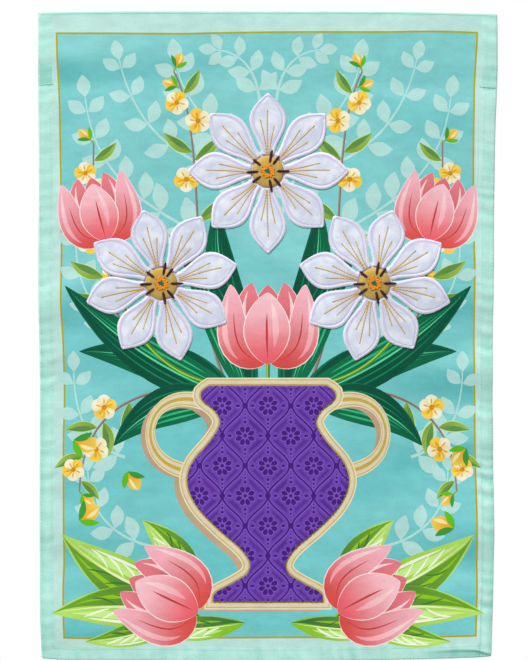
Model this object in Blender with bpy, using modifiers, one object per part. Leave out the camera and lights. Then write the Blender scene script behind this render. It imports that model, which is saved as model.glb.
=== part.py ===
"""Applique garden flag: printed panel with turned hems, rod sleeve behind, brocade urn and white blossoms."""

import math
from collections import namedtuple

import bmesh
import bpy

# Driving sizes, in metres. The origin is the middle of the top edge, +X runs along it to the right
# as the flag is seen, +Z is up and the face looks along -Y. A depth is a distance below the origin.
CLOTH = 0.0012  # panel cloth, from face to back
TURNING = 0.0010  # what a turned hem adds behind the panel
HEM_WIDTH = 0.0085
HEM_STEP = 0.0012  # width over which a hem's edge falls away
GAP = 0.0003  # between one piece and the next
APPLIQUE = 0.0010
SATIN_EDGE = 0.0005  # what the stitched edge adds to a petal
SATIN_WIDTH = 0.0026
PANEL_COLUMNS = 26  # cells between the side hems
PANEL_ROWS = 66

SLEEVE_DEPTH = 0.0515  # top edge to the sleeve's lower edge
SLEEVE_SEAM = 0.0060  # width of the strip that lies against the panel along each seam
SLEEVE_CLOTH = 0.0011
SLEEVE_INSET = 0.0008  # from the panel's sides, and from its top edge
SLEEVE_BULGE = 0.0085  # how far the empty pocket stands open
SLEEVE_FULLNESS = 0.55  # under 1 makes the bulge's section squarer
SLEEVE_COLUMNS = 26
SLEEVE_ROWS = 14

Side = namedtuple("Side", "depth left right")  # the side edges, as they hang
SIDES = (
    Side(0.000, -0.1608, 0.1606),
    Side(0.045, -0.1610, 0.1607),
    Side(0.080, -0.1606, 0.1593),
    Side(0.125, -0.1603, 0.1586),
    Side(0.185, -0.1608, 0.1579),
    Side(0.240, -0.1600, 0.1573),
    Side(0.300, -0.1597, 0.1575),
    Side(0.370, -0.1597, 0.1582),
    Side(0.415, -0.1595, 0.1573),
    Side(0.455, -0.1582, 0.1560),
)

End = namedtuple("End", "x top bottom")  # depths of the top and bottom edges
ENDS = (
    End(-0.161, 0.0008, 0.4526),
    End(-0.140, 0.0004, 0.4540),
    End(-0.105, 0.0000, 0.4546),
    End(0.000, 0.0000, 0.4550),
    End(0.092, 0.0003, 0.4540),
    End(0.142, 0.0013, 0.4523),
    End(0.161, 0.0020, 0.4509),
)

# Soft waves of the hanging cloth. across and down are wavelengths, and at_top is the share left at the top.
Wave = namedtuple("Wave", "across down turn height at_top")
WAVES = (
    Wave(0.165, 1.300, 0.12, 0.0011, 0.25),
    Wave(0.092, 0.850, 0.40, 0.0005, 0.30),
    Wave(0.270, 0.310, 0.65, 0.0006, 0.35),
)

# Soft ridges across the cloth, each fading out inwards from the side it starts at. Negative heights are
# troughs. slant is how far a ridge comes down for each metre inwards.
Crease = namedtuple("Crease", "depth side reach width height slant")
CREASES = (
    Crease(0.031, -1, 0.100, 0.010, 0.0009, 0.00),
    Crease(0.049, -1, 0.110, 0.008, -0.0009, 0.00),
    Crease(0.208, -1, 0.080, 0.014, 0.0022, -0.50),
    Crease(0.230, -1, 0.080, 0.011, -0.0007, -0.25),
    Crease(0.258, -1, 0.060, 0.017, -0.0019, 0.00),
    Crease(0.322, -1, 0.060, 0.016, 0.0011, 0.00),
    Crease(0.359, -1, 0.060, 0.014, 0.0020, 0.00),
    Crease(0.386, -1, 0.060, 0.011, -0.0012, 0.00),
    Crease(0.427, -1, 0.060, 0.013, 0.0021, 0.00),
    Crease(0.050, 1, 0.120, 0.010, -0.0007, 0.00),
    Crease(0.068, 1, 0.060, 0.009, 0.0005, 0.00),
    Crease(0.135, 1, 0.090, 0.020, -0.0015, 0.00),
    Crease(0.178, 1, 0.110, 0.015, 0.0024, 0.00),
    Crease(0.203, 1, 0.080, 0.013, 0.0030, -0.20),
    Crease(0.250, 1, 0.060, 0.011, 0.0028, 0.00),
    Crease(0.275, 1, 0.060, 0.013, -0.0019, 0.00),
    Crease(0.300, 1, 0.060, 0.009, 0.0008, 0.00),
    Crease(0.320, 1, 0.060, 0.013, -0.0021, 0.00),
    Crease(0.360, 1, 0.060, 0.015, 0.0020, 0.00),
    Crease(0.388, 1, 0.060, 0.011, -0.0018, 0.00),
    Crease(0.407, 1, 0.060, 0.010, 0.0006, 0.00),
)
CORNER_CURL = 0.0016  # the lower right corner turns forward by this
CORNER_REACH = 0.045

UrnRow = namedtuple("UrnRow", "depth half")  # the urn's outline, mirrored about its middle
URN = (
    UrnRow(0.2620, 0.0410),
    UrnRow(0.2660, 0.0465),
    UrnRow(0.2720, 0.0460),
    UrnRow(0.2790, 0.0375),
    UrnRow(0.2880, 0.0335),
    UrnRow(0.3000, 0.0400),
    UrnRow(0.3160, 0.0530),
    UrnRow(0.3300, 0.0565),
    UrnRow(0.3460, 0.0500),
    UrnRow(0.3620, 0.0350),
    UrnRow(0.3760, 0.0190),
    UrnRow(0.3860, 0.0126),
    UrnRow(0.3940, 0.0150),
    UrnRow(0.4010, 0.0260),
    UrnRow(0.4070, 0.0370),
    UrnRow(0.4130, 0.0385),
)
URN_ROWS = 34
URN_COLUMNS = 8

PETALS = 8
PETAL_HALF = 0.0114  # half width at a petal's widest place, before what its base adds
PETAL_BASE_HALF = 0.0036
PETAL_TIP_HALF = 0.0008
PETAL_WIDEST = 0.60  # share of the length from the base
PETAL_SWAY = 0.0005
PETAL_CLEAR = 0.0007  # from the centre disc to a petal's base
PETAL_SHORTER = 0.06  # the greatest share by which a petal falls short of the blossom's reach
PETAL_TURN = 2.4  # radians that set one petal's sway and length off from the next one's
PETAL_ROWS = 8
PETAL_CORE = (-0.5, 0.0, 0.5)  # columns inside the stitched edges, as shares of the cloth between them
PETAL_CORE_LEAST = 0.35  # least share of the width left between the stitched edges, at the tip
CENTRE_RADIUS = 0.0110
CENTRE_HEIGHT = 0.0018
CENTRE_TAPER = 0.82
CENTRE_SIDES = 24

Blossom = namedtuple("Blossom", "name x depth reach turn")  # turn is in degrees
BLOSSOMS = (
    Blossom("upper", 0.0000, 0.1120, 0.0570, 90.0),
    Blossom("left", -0.0745, 0.1905, 0.0550, 104.0),
    Blossom("right", 0.0745, 0.1905, 0.0550, 76.0),
)

# Finish of each kind of piece: colour, roughness.
COLOURS = {
    "panel": ((0.48, 0.81, 0.79), 0.75),
    "sleeve": ((0.66, 0.87, 0.81), 0.75),
    "brocade": ((0.36, 0.17, 0.61), 0.55),
    "satin": ((0.90, 0.90, 0.95), 0.40),
    "embroidery": ((0.80, 0.62, 0.25), 0.60),
}


def between(rows, key, value, at):
    """Value at one place of a short table, on a smooth curve through its rows."""
    keys = [getattr(row, key) for row in rows]
    values = [getattr(row, value) for row in rows]
    if at <= keys[0]:
        return values[0]
    if at >= keys[-1]:
        return values[-1]
    high = next(place for place, found in enumerate(keys) if at <= found)
    low, last = high - 1, len(keys) - 1
    before, after = max(low - 1, 0), min(high + 1, last)
    width = keys[high] - keys[low]
    leaving = width * (values[high] - values[before]) / (keys[high] - keys[before])
    arriving = width * (values[after] - values[low]) / (keys[after] - keys[low])
    share = (at - keys[low]) / width
    rise = values[high] - values[low]
    bend = (leaving - rise) * (1 - share) + (rise - arriving) * share
    return values[low] + rise * share + share * (1 - share) * bend


def hang(x, z):
    """How far the hanging cloth's middle layer lies behind the XZ plane."""
    depth = -z
    total = 0.0
    for wave in WAVES:
        strength = wave.at_top + (1 - wave.at_top) * depth / ENDS[3].bottom
        angle = 2 * math.pi * (x / wave.across + depth / wave.down + wave.turn)
        total += wave.height * strength * math.cos(angle)
    for crease in CREASES:
        inwards = max(0.0, SIDES[0].right - crease.side * x)
        below = depth - crease.depth - crease.slant * inwards
        rise = math.exp(-((below / crease.width) ** 2))
        total -= crease.height * rise * math.exp(-((inwards / crease.reach) ** 2))
    from_corner = math.hypot(SIDES[-1].right - x, ENDS[3].bottom - depth)
    return total - CORNER_CURL * max(0.0, 1 - from_corner / CORNER_REACH) ** 2


def edge_steps(cells, insets):
    """Places between two edges, as (share, inset) pairs: lines at the insets from each, and even cells."""
    low = [(0.0, inset) for inset in insets]
    inside = [(step / cells, 0.0) for step in range(1, cells)]
    high = [(1.0, inset) for inset in reversed(insets)]
    return low + inside + high


def along(step, start, end, margin):
    """Turns one of edge_steps into a coordinate between two edges. The even cells lie inside the margin."""
    share, inset = step
    if share == 0.0:
        return start + inset
    if share == 1.0:
        return end - inset
    return start + margin + (end - start - 2 * margin) * share


def panel_point(across, down):
    """X and Z of a place on the panel, for one column step and one row step."""
    x = along(across, SIDES[0].left, SIDES[0].right, HEM_WIDTH)
    depth = 0.0
    for _ in range(4):
        depth = along(down, between(ENDS, "x", "top", x), between(ENDS, "x", "bottom", x), HEM_WIDTH)
        left, right = between(SIDES, "depth", "left", depth), between(SIDES, "depth", "right", depth)
        x = along(across, left, right, HEM_WIDTH)
    return x, -depth


def in_hem(step):
    """1 on a turned hem, 0 inside it."""
    share, inset = step
    return 1.0 if share in (0.0, 1.0) and inset < HEM_WIDTH else 0.0


def panel_back(x, z):
    """Y of the panel's back at a place in the sleeve's reach, with the hem's thickness where it has one."""
    depth = -z
    inset = min(
        x - between(SIDES, "depth", "left", depth),
        between(SIDES, "depth", "right", depth) - x,
        depth - between(ENDS, "x", "top", x),
    )
    share = min(1.0, max(0.0, (HEM_WIDTH + HEM_STEP - inset) / HEM_STEP))
    return hang(x, z) + CLOTH / 2 + TURNING * share


def material(name):
    """A plain surface with the piece's colour and roughness."""
    made = bpy.data.materials.get(name)
    if made is None:
        made = bpy.data.materials.new(name)
        made.use_nodes = True
        colour, roughness = COLOURS[name]
        shader = made.node_tree.nodes["Principled BSDF"]
        shader.inputs["Base Color"].default_value = (*colour, 1.0)
        shader.inputs["Roughness"].default_value = roughness
        shader.inputs["Metallic"].default_value = 0.0
    return made


def add_object(collection, name, mesh, finish):
    obj = bpy.data.objects.new(name, mesh)
    mesh.materials.append(material(finish))
    mesh.shade_smooth()
    collection.objects.link(obj)
    return obj


def add_sheet(collection, name, finish, points, thickness, thinnest=1.0, thick=None):
    """A cloth sheet from a table of points, rows down and columns across, solidified away from -Y or to it.

    thickness is signed: plus lies behind the points, minus in front of them. thick is a table of 0 and 1
    like points, and where it is 0 the sheet has only the share thinnest of its thickness.
    """
    rows, columns = len(points), len(points[0])
    bm = bmesh.new()
    bmesh.ops.create_grid(bm, x_segments=columns - 1, y_segments=rows - 1, size=1.0)
    bm.verts.ensure_lookup_table()
    ordered = sorted(bm.verts, key=lambda vert: (round(-vert.co.y, 5), round(vert.co.x, 5)))
    for place, vert in enumerate(ordered):
        vert.co = points[place // columns][place % columns]
    bmesh.ops.recalc_face_normals(bm, faces=bm.faces)
    if sum(face.normal.y for face in bm.faces) > 0:
        bmesh.ops.reverse_faces(bm, faces=bm.faces)
    bm.verts.index_update()
    numbers = [vert.index for vert in ordered]
    mesh = bpy.data.meshes.new(name)
    bm.to_mesh(mesh)
    bm.free()
    obj = add_object(collection, name, mesh, finish)
    solidify = obj.modifiers.new("Thickness", "SOLIDIFY")
    solidify.thickness = abs(thickness)
    solidify.offset = -1.0 if thickness > 0 else 1.0
    if thick is not None:
        group = obj.vertex_groups.new(name="thick")
        for place, number in enumerate(numbers):
            group.add([number], thick[place // columns][place % columns], "REPLACE")
        solidify.vertex_group = group.name
        solidify.thickness_vertex_group = thinnest
    return obj


def add_panel(collection):
    insets = (0.0, HEM_WIDTH - HEM_STEP, HEM_WIDTH)
    columns = edge_steps(PANEL_COLUMNS, insets)
    rows = edge_steps(PANEL_ROWS, insets)
    points = [[] for _ in rows]
    for line, down in zip(points, rows):
        for across in columns:
            x, z = panel_point(across, down)
            line.append((x, hang(x, z) - CLOTH / 2, z))
    thick = [[max(in_hem(across), in_hem(down)) for across in columns] for down in rows]
    full = CLOTH + TURNING
    add_sheet(collection, "front_panel", "panel", points, full, CLOTH / full, thick)


def sleeve_section(share):
    """Depth below the sleeve's top and stand-off from the panel, from the upper seam round to the lower."""
    drop = SLEEVE_DEPTH - SLEEVE_INSET
    seam_share = SLEEVE_SEAM / drop
    if share <= seam_share or share >= 1 - seam_share:
        return drop * share, 0.0
    inner = (share - seam_share) / (1 - 2 * seam_share)
    return drop * share, SLEEVE_BULGE * math.sin(math.pi * inner) ** SLEEVE_FULLNESS


def sleeve_shares():
    """Rows round the sleeve's section, closer together where it leaves the seams."""
    drop = SLEEVE_DEPTH - SLEEVE_INSET
    seam_share = SLEEVE_SEAM / drop
    inner = [0.5 - 0.5 * math.cos(math.pi * step / SLEEVE_ROWS) for step in range(SLEEVE_ROWS + 1)]
    return [0.0] + [seam_share + (1 - 2 * seam_share) * share for share in inner] + [1.0]


def add_sleeve(collection):
    inside_hem = HEM_WIDTH + HEM_STEP
    points = []
    for share in sleeve_shares():
        down, stand_off = sleeve_section(share)
        line = []
        for step in edge_steps(SLEEVE_COLUMNS, (SLEEVE_INSET, HEM_WIDTH, inside_hem)):
            left, right = between(SIDES, "depth", "left", down), between(SIDES, "depth", "right", down)
            x = along(step, left, right, inside_hem)
            z = -between(ENDS, "x", "top", x) - SLEEVE_INSET - down
            line.append((x, panel_back(x, z) + GAP + stand_off, z))
        points.append(line)
    add_sheet(collection, "rod_sleeve", "sleeve", points, SLEEVE_CLOTH)


def on_face(x, z):
    """The place where an applique piece's underside lies in front of the panel."""
    return x, hang(x, z) - CLOTH / 2 - GAP, z


def add_urn(collection):
    top, bottom = URN[0].depth, URN[-1].depth
    points = []
    for row in range(URN_ROWS + 1):
        depth = top + (bottom - top) * row / URN_ROWS
        half = between(URN, "depth", "half", depth)
        shares = [2 * column / URN_COLUMNS - 1 for column in range(URN_COLUMNS + 1)]
        points.append([on_face(half * share, -depth) for share in shares])
    add_sheet(collection, "urn", "brocade", points, -APPLIQUE)


def petal_half(share):
    """Half width of a petal at a share of its length."""
    bend = math.log(0.5) / math.log(PETAL_WIDEST)
    swell = max(0.0, math.sin(math.pi * share**bend))
    return PETAL_HALF * swell + PETAL_BASE_HALF * (1 - share) ** 2 + PETAL_TIP_HALF


def add_petal(collection, blossom, number):
    start = CENTRE_RADIUS + PETAL_CLEAR
    length = (blossom.reach - start) * (1 - PETAL_SHORTER * (1 + math.cos(PETAL_TURN * number)) / 2)
    sway = PETAL_SWAY * math.sin(PETAL_TURN * number)
    angle = math.radians(blossom.turn + 360 * number / PETALS)
    outwards, sideways = (math.cos(angle), math.sin(angle)), (-math.sin(angle), math.cos(angle))
    points, thick = [], []
    for row in range(PETAL_ROWS + 1):
        share = row / PETAL_ROWS
        half = petal_half(share)
        run = start + length * share
        edge = max(PETAL_CORE_LEAST, 1 - SATIN_WIDTH / half)
        shares = [-1.0, *(column / PETAL_CORE[-1] * edge for column in PETAL_CORE), 1.0]
        line = []
        for across in shares:
            aside = half * across + sway * math.sin(math.pi * share)
            x = blossom.x + outwards[0] * run + sideways[0] * aside
            z = -blossom.depth + outwards[1] * run + sideways[1] * aside
            line.append(on_face(x, z))
        points.append(line)
        ends = row in (0, PETAL_ROWS)
        thick.append([1.0, *(float(ends) for _ in PETAL_CORE), 1.0])
    full = APPLIQUE + SATIN_EDGE
    name = f"blossom_{blossom.name}_petal_{number + 1:02d}"
    add_sheet(collection, name, "satin", points, -full, APPLIQUE / full, thick)


def add_centre(collection, blossom):
    """The padded disc in the middle of a blossom, bent to the cloth behind it."""
    bm = bmesh.new()
    bmesh.ops.create_cone(
        bm,
        cap_ends=True,
        segments=CENTRE_SIDES,
        radius1=CENTRE_RADIUS,
        radius2=CENTRE_RADIUS * CENTRE_TAPER,
        depth=CENTRE_HEIGHT,
    )
    for vert in bm.verts:
        lift = vert.co.z + CENTRE_HEIGHT / 2
        x, z = blossom.x + vert.co.x, vert.co.y - blossom.depth
        base = on_face(x, z)
        vert.co = (base[0], base[1] - lift, base[2])
    bmesh.ops.recalc_face_normals(bm, faces=bm.faces)
    mesh = bpy.data.meshes.new("centre")
    bm.to_mesh(mesh)
    bm.free()
    add_object(collection, f"blossom_{blossom.name}_centre", mesh, "embroidery")


def main():
    for old in list(bpy.data.objects):
        bpy.data.objects.remove(old, do_unlink=True)
    collection = bpy.data.collections.new("applique_flag")
    bpy.context.scene.collection.children.link(collection)
    add_panel(collection)
    add_sleeve(collection)
    add_urn(collection)
    for blossom in BLOSSOMS:
        for number in range(PETALS):
            add_petal(collection, blossom, number)
        add_centre(collection, blossom)


main()
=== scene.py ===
import math
import random

import bpy
import numpy as np
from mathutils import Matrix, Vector, noise
from mathutils.geometry import delaunay_2d_cdt


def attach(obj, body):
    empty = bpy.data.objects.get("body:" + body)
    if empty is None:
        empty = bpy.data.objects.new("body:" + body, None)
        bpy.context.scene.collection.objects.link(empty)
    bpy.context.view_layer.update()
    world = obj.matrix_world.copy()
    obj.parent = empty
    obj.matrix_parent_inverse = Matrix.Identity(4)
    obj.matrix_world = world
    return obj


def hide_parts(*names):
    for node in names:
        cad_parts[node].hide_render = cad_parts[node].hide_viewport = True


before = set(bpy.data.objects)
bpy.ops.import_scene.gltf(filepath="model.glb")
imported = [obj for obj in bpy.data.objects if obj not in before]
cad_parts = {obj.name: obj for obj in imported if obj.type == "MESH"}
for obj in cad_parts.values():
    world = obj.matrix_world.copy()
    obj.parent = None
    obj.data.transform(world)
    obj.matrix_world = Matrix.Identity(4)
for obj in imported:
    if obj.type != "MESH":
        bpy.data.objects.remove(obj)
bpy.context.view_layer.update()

# Places on the flag are in mm: x to the right of the middle, depth down from the top edge.
mm = 0.001

cloth = {
    "face": 0.6,  # from the middle of the solid panel to its face
    "worn": 0.45,  # thickness of the cloth itself
    "height": 455.0,
    "hem": 9.8,  # width of the turned hems
    "hemStitch": 8.2,  # their stitching, from the edge
    "edgeStitch": 1.2,  # the second row, close to the edge
    "stitch": 2.6,
    "topFold": 1.9,  # the folded top edge; the rod sleeve's seam leaves no other line on the face
    # where the sleeve is caught down on the side hems: depth, and how far in
    "tack": {"left": (52.2, 10.6), "right": (54.2, 12.2)},
}

# depth, left edge, right edge
sideEdges = (
    (0, -160.8, 160.6), (45, -161.0, 160.7), (80, -160.6, 159.3), (125, -160.3, 158.6),
    (185, -160.8, 157.9), (240, -160.0, 157.3), (300, -159.7, 157.5), (370, -159.7, 158.2),
    (415, -159.5, 157.3), (455, -158.2, 156.0),
)
# x, top edge, bottom edge
endEdges = (
    (-161, 0.8, 452.6), (-140, 0.4, 454.0), (-105, 0.0, 454.6), (0, 0.0, 455.0), (92, 0.3, 454.0),
    (142, 1.3, 452.3), (161, 2.0, 450.9),
)
# wavelength across, wavelength down, turn, height, share of the height left at the top
waves = ((165, 1300, 0.12, 1.1, 0.25), (92, 850, 0.40, 0.5, 0.30), (270, 310, 0.65, 0.6, 0.35))
# depth, side, reach inwards, width, height, fall for each mm inwards; troughs have a negative height
creases = (
    (31, -1, 100, 10, 0.9, 0), (49, -1, 110, 8, -0.9, 0), (208, -1, 80, 14, 2.2, -0.5),
    (230, -1, 80, 11, -0.7, -0.25), (258, -1, 60, 17, -1.9, 0), (322, -1, 60, 16, 1.1, 0),
    (359, -1, 60, 14, 2.0, 0), (386, -1, 60, 11, -1.2, 0), (427, -1, 60, 13, 2.1, 0),
    (50, 1, 120, 10, -0.7, 0), (68, 1, 60, 9, 0.5, 0), (135, 1, 90, 20, -1.5, 0),
    (178, 1, 110, 15, 2.4, 0), (203, 1, 80, 13, 3.0, -0.2), (250, 1, 60, 11, 2.8, 0),
    (275, 1, 60, 13, -1.9, 0), (300, 1, 60, 9, 0.8, 0), (320, 1, 60, 13, -2.1, 0),
    (360, 1, 60, 15, 2.0, 0), (388, 1, 60, 11, -1.8, 0), (407, 1, 60, 10, 0.6, 0),
)
cornerCurl = {"height": 1.6, "reach": 45}


def smoothAt(rows, column, at):
    # a value of a table, eased from row to row
    if at <= rows[0][0]:
        return rows[0][column]
    if at >= rows[-1][0]:
        return rows[-1][column]
    high = next(k for k, row in enumerate(rows) if at <= row[0])
    low = high - 1
    before, after = rows[max(low - 1, 0)], rows[min(high + 1, len(rows) - 1)]
    a, b = rows[low], rows[high]
    width = b[0] - a[0]
    leaving = width * (b[column] - before[column]) / (b[0] - before[0])
    arriving = width * (after[column] - a[column]) / (after[0] - a[0])
    share = (at - a[0]) / width
    rise = b[column] - a[column]
    bend = (leaving - rise) * (1 - share) + (rise - arriving) * share
    return a[column] + rise * share + share * (1 - share) * bend


def fromTables(sides, ends, side, at):
    rows = sides if side in ("left", "right") else ends
    return smoothAt(rows, 1 if side in ("left", "top") else 2, at)


def edgeAt(side, at):
    # x of a side edge at a depth, or depth of the top or bottom edge at an x
    return fromTables(sideEdges, endEdges, side, at)


def edgeDistances(x, depth):
    # how far a place lies from the left, right, top and bottom edges
    across = (x - edgeAt("left", depth), edgeAt("right", depth) - x)
    return (*across, depth - edgeAt("top", x), edgeAt("bottom", x) - depth)


def hang(x, depth):
    # how far the hanging cloth lies behind the flat, as in the solids
    total = 0.0
    for across, down, turn, height, atTop in waves:
        strength = atTop + (1 - atTop) * depth / cloth["height"]
        total += height * strength * math.cos(2 * math.pi * (x / across + depth / down + turn))
    for at, side, reach, width, height, slant in creases:
        inwards = max(0.0, sideEdges[0][2] - side * x)
        below = (depth - at - slant * inwards) / width
        if abs(below) < 3:
            total -= height * math.exp(-below * below - (inwards / reach) ** 2)
    fromCorner = math.hypot(sideEdges[-1][2] - x, cloth["height"] - depth)
    return total - cornerCurl["height"] * max(0.0, 1 - fromCorner / cornerCurl["reach"]) ** 2


pucker = {
    "pitch": 8.5,  # between one pucker of a hem and the next
    "widePitch": 15.5,  # of the slower waves between them
    "wave": 0.62,  # strength of the one and of the other
    "wideWave": 0.60,
    "drift": 0.9,  # how far the cloth's unevenness shifts each of them
    "wideDrift": 0.8,
    "slant": 0.16,
    "uneven": 30,  # length of that unevenness along a hem
    "least": 0.75,  # strength without it, and what it adds
    "most": 1.1,
    "height": 0.85,
    "full": 6,  # from the edge to where they begin to fade
    "reach": 6.5,  # how far they run in past the hem
    "furthest": 30,
    "crumple": 0.35,
    "small": 0.07,
    "groove": 0.10,  # depth of the stitching
    "grooveWidth": 0.6,
    "step": 0.16,  # what the doubled hem stands proud
    "roll": 0.7,  # radius of the turned edge
    "pinch": 0.38,  # fold across the side hems where the sleeve is caught down
    "pinchWidth": 0.8,
    "dent": 0.9,  # how far the lower right corner is turned back below its crease
    "fineFall": 0.06,  # of a fine crease, for each mm to the right
    "fineWidth": 0.85,
}
# strength of the left, right and bottom hem's puckers: at the top, more by the middle, more low down; seed
hemWaves = ((0.18, 0.32, 0.15, 1.3), (0.34, 0.30, 0.60, 4.9), (0.30, 0.0, 0.0, 8.2))
# crease of the lower right corner: x, depth
cornerCrease = ((112, 448.6), (130, 447.6), (144, 447.4), (149, 448.4), (154, 449.8), (157, 451.6))
cornerFold = {"left": 100, "top": 440, "starts": 104, "full": 134, "soft": 0.9, "crease": 0.8}
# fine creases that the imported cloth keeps: depth, from x, to x, how deep
fineCreases = (
    (190.0, 122, 152, 0.24), (173.0, 130, 150, 0.12), (39.5, 116, 150, 0.09), (36.5, -150, -112, 0.08),
)


def capped(value):
    return min(1.0, max(0.0, value))


def smoothStep(low, high, value):
    share = capped((value - low) / (high - low))
    return share * share * (3 - 2 * share)


def bell(off, width):
    # 1 in the middle, fading to 0 on both sides
    return math.exp(-((off / width) ** 2))


def puckerAt(x, depth):
    # the waves drawn in by the hems' stitching, about -1 to 1
    left, right, _, bottom = edgeDistances(x, depth)
    middle, low = smoothStep(60, 240, depth), smoothStep(200, 440, depth)
    total = 0.0
    hemsHere = zip(hemWaves, (left, right, bottom), (depth, depth, x))
    for (atTop, inMiddle, lowDown, seed), distance, run in hemsHere:
        if distance > pucker["furthest"]:
            continue
        uneven = noise.noise(Vector((run / pucker["uneven"], seed, 0.5)))
        slant = pucker["slant"] * (distance - 5) / pucker["pitch"]
        narrow = run / pucker["pitch"] + pucker["drift"] * uneven + slant + seed
        wide = run / pucker["widePitch"] - pucker["wideDrift"] * uneven + slant + 2 * seed
        wave = pucker["wave"] * math.sin(2 * math.pi * narrow)
        wave += pucker["wideWave"] * math.sin(2 * math.pi * wide)
        fade = bell(max(0.0, distance - pucker["full"]), pucker["reach"])
        strength = atTop + inMiddle * middle + lowDown * low
        total += strength * (pucker["least"] + pucker["most"] * uneven) * wave * fade
    return total


def nearSide(left, right):
    return "left" if left < right else "right"


def tackFold(x, depth):
    # 0 to 1 at the short folds that the sleeve's tack stitches pull into the side hems
    left, right, _, _ = edgeDistances(x, depth)
    level, reach = cloth["tack"][nearSide(left, right)]
    inwards = 1 - smoothStep(reach - 1.0, reach + 1.5, min(left, right))
    return inwards * bell(depth - level, pucker["pinchWidth"])


def cornerTurn(x, depth):
    # 0 to 1 across the crease in the lower right corner, and how near the crease is
    if x < cornerFold["left"] or depth < cornerFold["top"]:
        return 0.0, 0.0
    at = smoothAt(cornerCrease, 1, x)
    slope = (smoothAt(cornerCrease, 1, x + 1) - smoothAt(cornerCrease, 1, x - 1)) / 2
    below = (depth - at) / math.hypot(1, slope)
    started = smoothStep(cornerFold["starts"], cornerFold["full"], x)
    turned = smoothStep(-cornerFold["soft"], cornerFold["soft"], below)
    return started * turned, started * bell(below, cornerFold["crease"])


def fineCrease(x, depth):
    total = 0.0
    for at, start, stop, deep in fineCreases:
        off = depth - at - pucker["fineFall"] * (x - start)
        if abs(off) < 3:
            ends = smoothStep(start, start + 8, x) * (1 - smoothStep(stop - 5, stop, x))
            total += deep * ends * bell(off, pucker["fineWidth"])
    return total


def relief(x, depth):
    # small unevenness of the face, in mm towards the viewer
    left, right, top, bottom = edgeDistances(x, depth)
    near = min(left, right, top, bottom)
    total = pucker["crumple"] * noise.noise(Vector((x / 70, depth / 27, 3.1)))
    total += pucker["small"] * noise.noise(Vector((x / 24, depth / 12, 7.7)))
    total += pucker["height"] * puckerAt(x, depth) - pucker["pinch"] * tackFold(x, depth)
    total -= pucker["dent"] * cornerTurn(x, depth)[0] + fineCrease(x, depth)
    for distance in (left, right, bottom):
        if distance < 12:
            total -= pucker["groove"] * bell(distance - cloth["hemStitch"], pucker["grooveWidth"])
    total -= pucker["groove"] * bell(near - cloth["edgeStitch"], pucker["grooveWidth"])
    doubled = min(left, right, bottom, top - cloth["topFold"] + cloth["hem"])
    total += pucker["step"] * (1 - smoothStep(cloth["hem"] - 0.6, cloth["hem"] + 0.5, doubled))
    if near < pucker["roll"]:
        over = pucker["roll"] - max(near, 0.0)
        total -= pucker["roll"] - math.sqrt(max(0.0, pucker["roll"] ** 2 - over * over))
    return total


def onFace(x, depth, lift=0.0):
    y = hang(x, depth) - cloth["face"] - relief(x, depth) - lift
    return (x * mm, y * mm, -depth * mm)


def onBack(x, depth, lift=0.0):
    y = hang(x, depth) - cloth["face"] - relief(x, depth) + cloth["worn"] + lift
    return (x * mm, y * mm, -depth * mm)


class Wire:
    # one output of a shader graph, so that maths on it reads as maths
    def __init__(self, graph, socket):
        self.graph, self.socket = graph, socket

    def maths(self, operation, *values):
        return self.graph.node("Math", {"operation": operation}, *values)

    def __add__(self, other):
        return self.maths("ADD", self, other)

    def __sub__(self, other):
        return self.maths("SUBTRACT", self, other)

    def __rsub__(self, other):
        return self.maths("SUBTRACT", other, self)

    def __mul__(self, other):
        return self.maths("MULTIPLY", self, other)

    def sine(self):
        return self.maths("SINE", self)

    def clamped(self):
        return self.graph.node("Clamp", {}, self)

    def part(self, name):
        return Wire(self.graph, self.socket.node.outputs[name])

    __radd__ = __add__
    __rmul__ = __mul__


class Graph:
    # a node tree; every node of it comes from the node method
    def __init__(self, tree):
        self.tree = tree

    def feed(self, socket, value):
        if isinstance(value, Wire):
            self.tree.links.new(value.socket, socket)
        elif isinstance(value, (tuple, list)) and len(value) == 3 and socket.type == "RGBA":
            socket.default_value = (*value, 1.0)
        else:
            socket.default_value = value

    def set(self, node, sockets):
        for name, value in sockets.items():
            self.feed(node.inputs[name], value)

    def node(self, kind, settings, *values, **sockets):
        made = self.tree.nodes.new("ShaderNode" + kind)
        for name, value in settings.items():
            setattr(made, name, value)
        for socket, value in zip(made.inputs, values):
            self.feed(socket, value)
        self.set(made, sockets)
        return Wire(self, next(socket for socket in made.outputs if socket.enabled))


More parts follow.
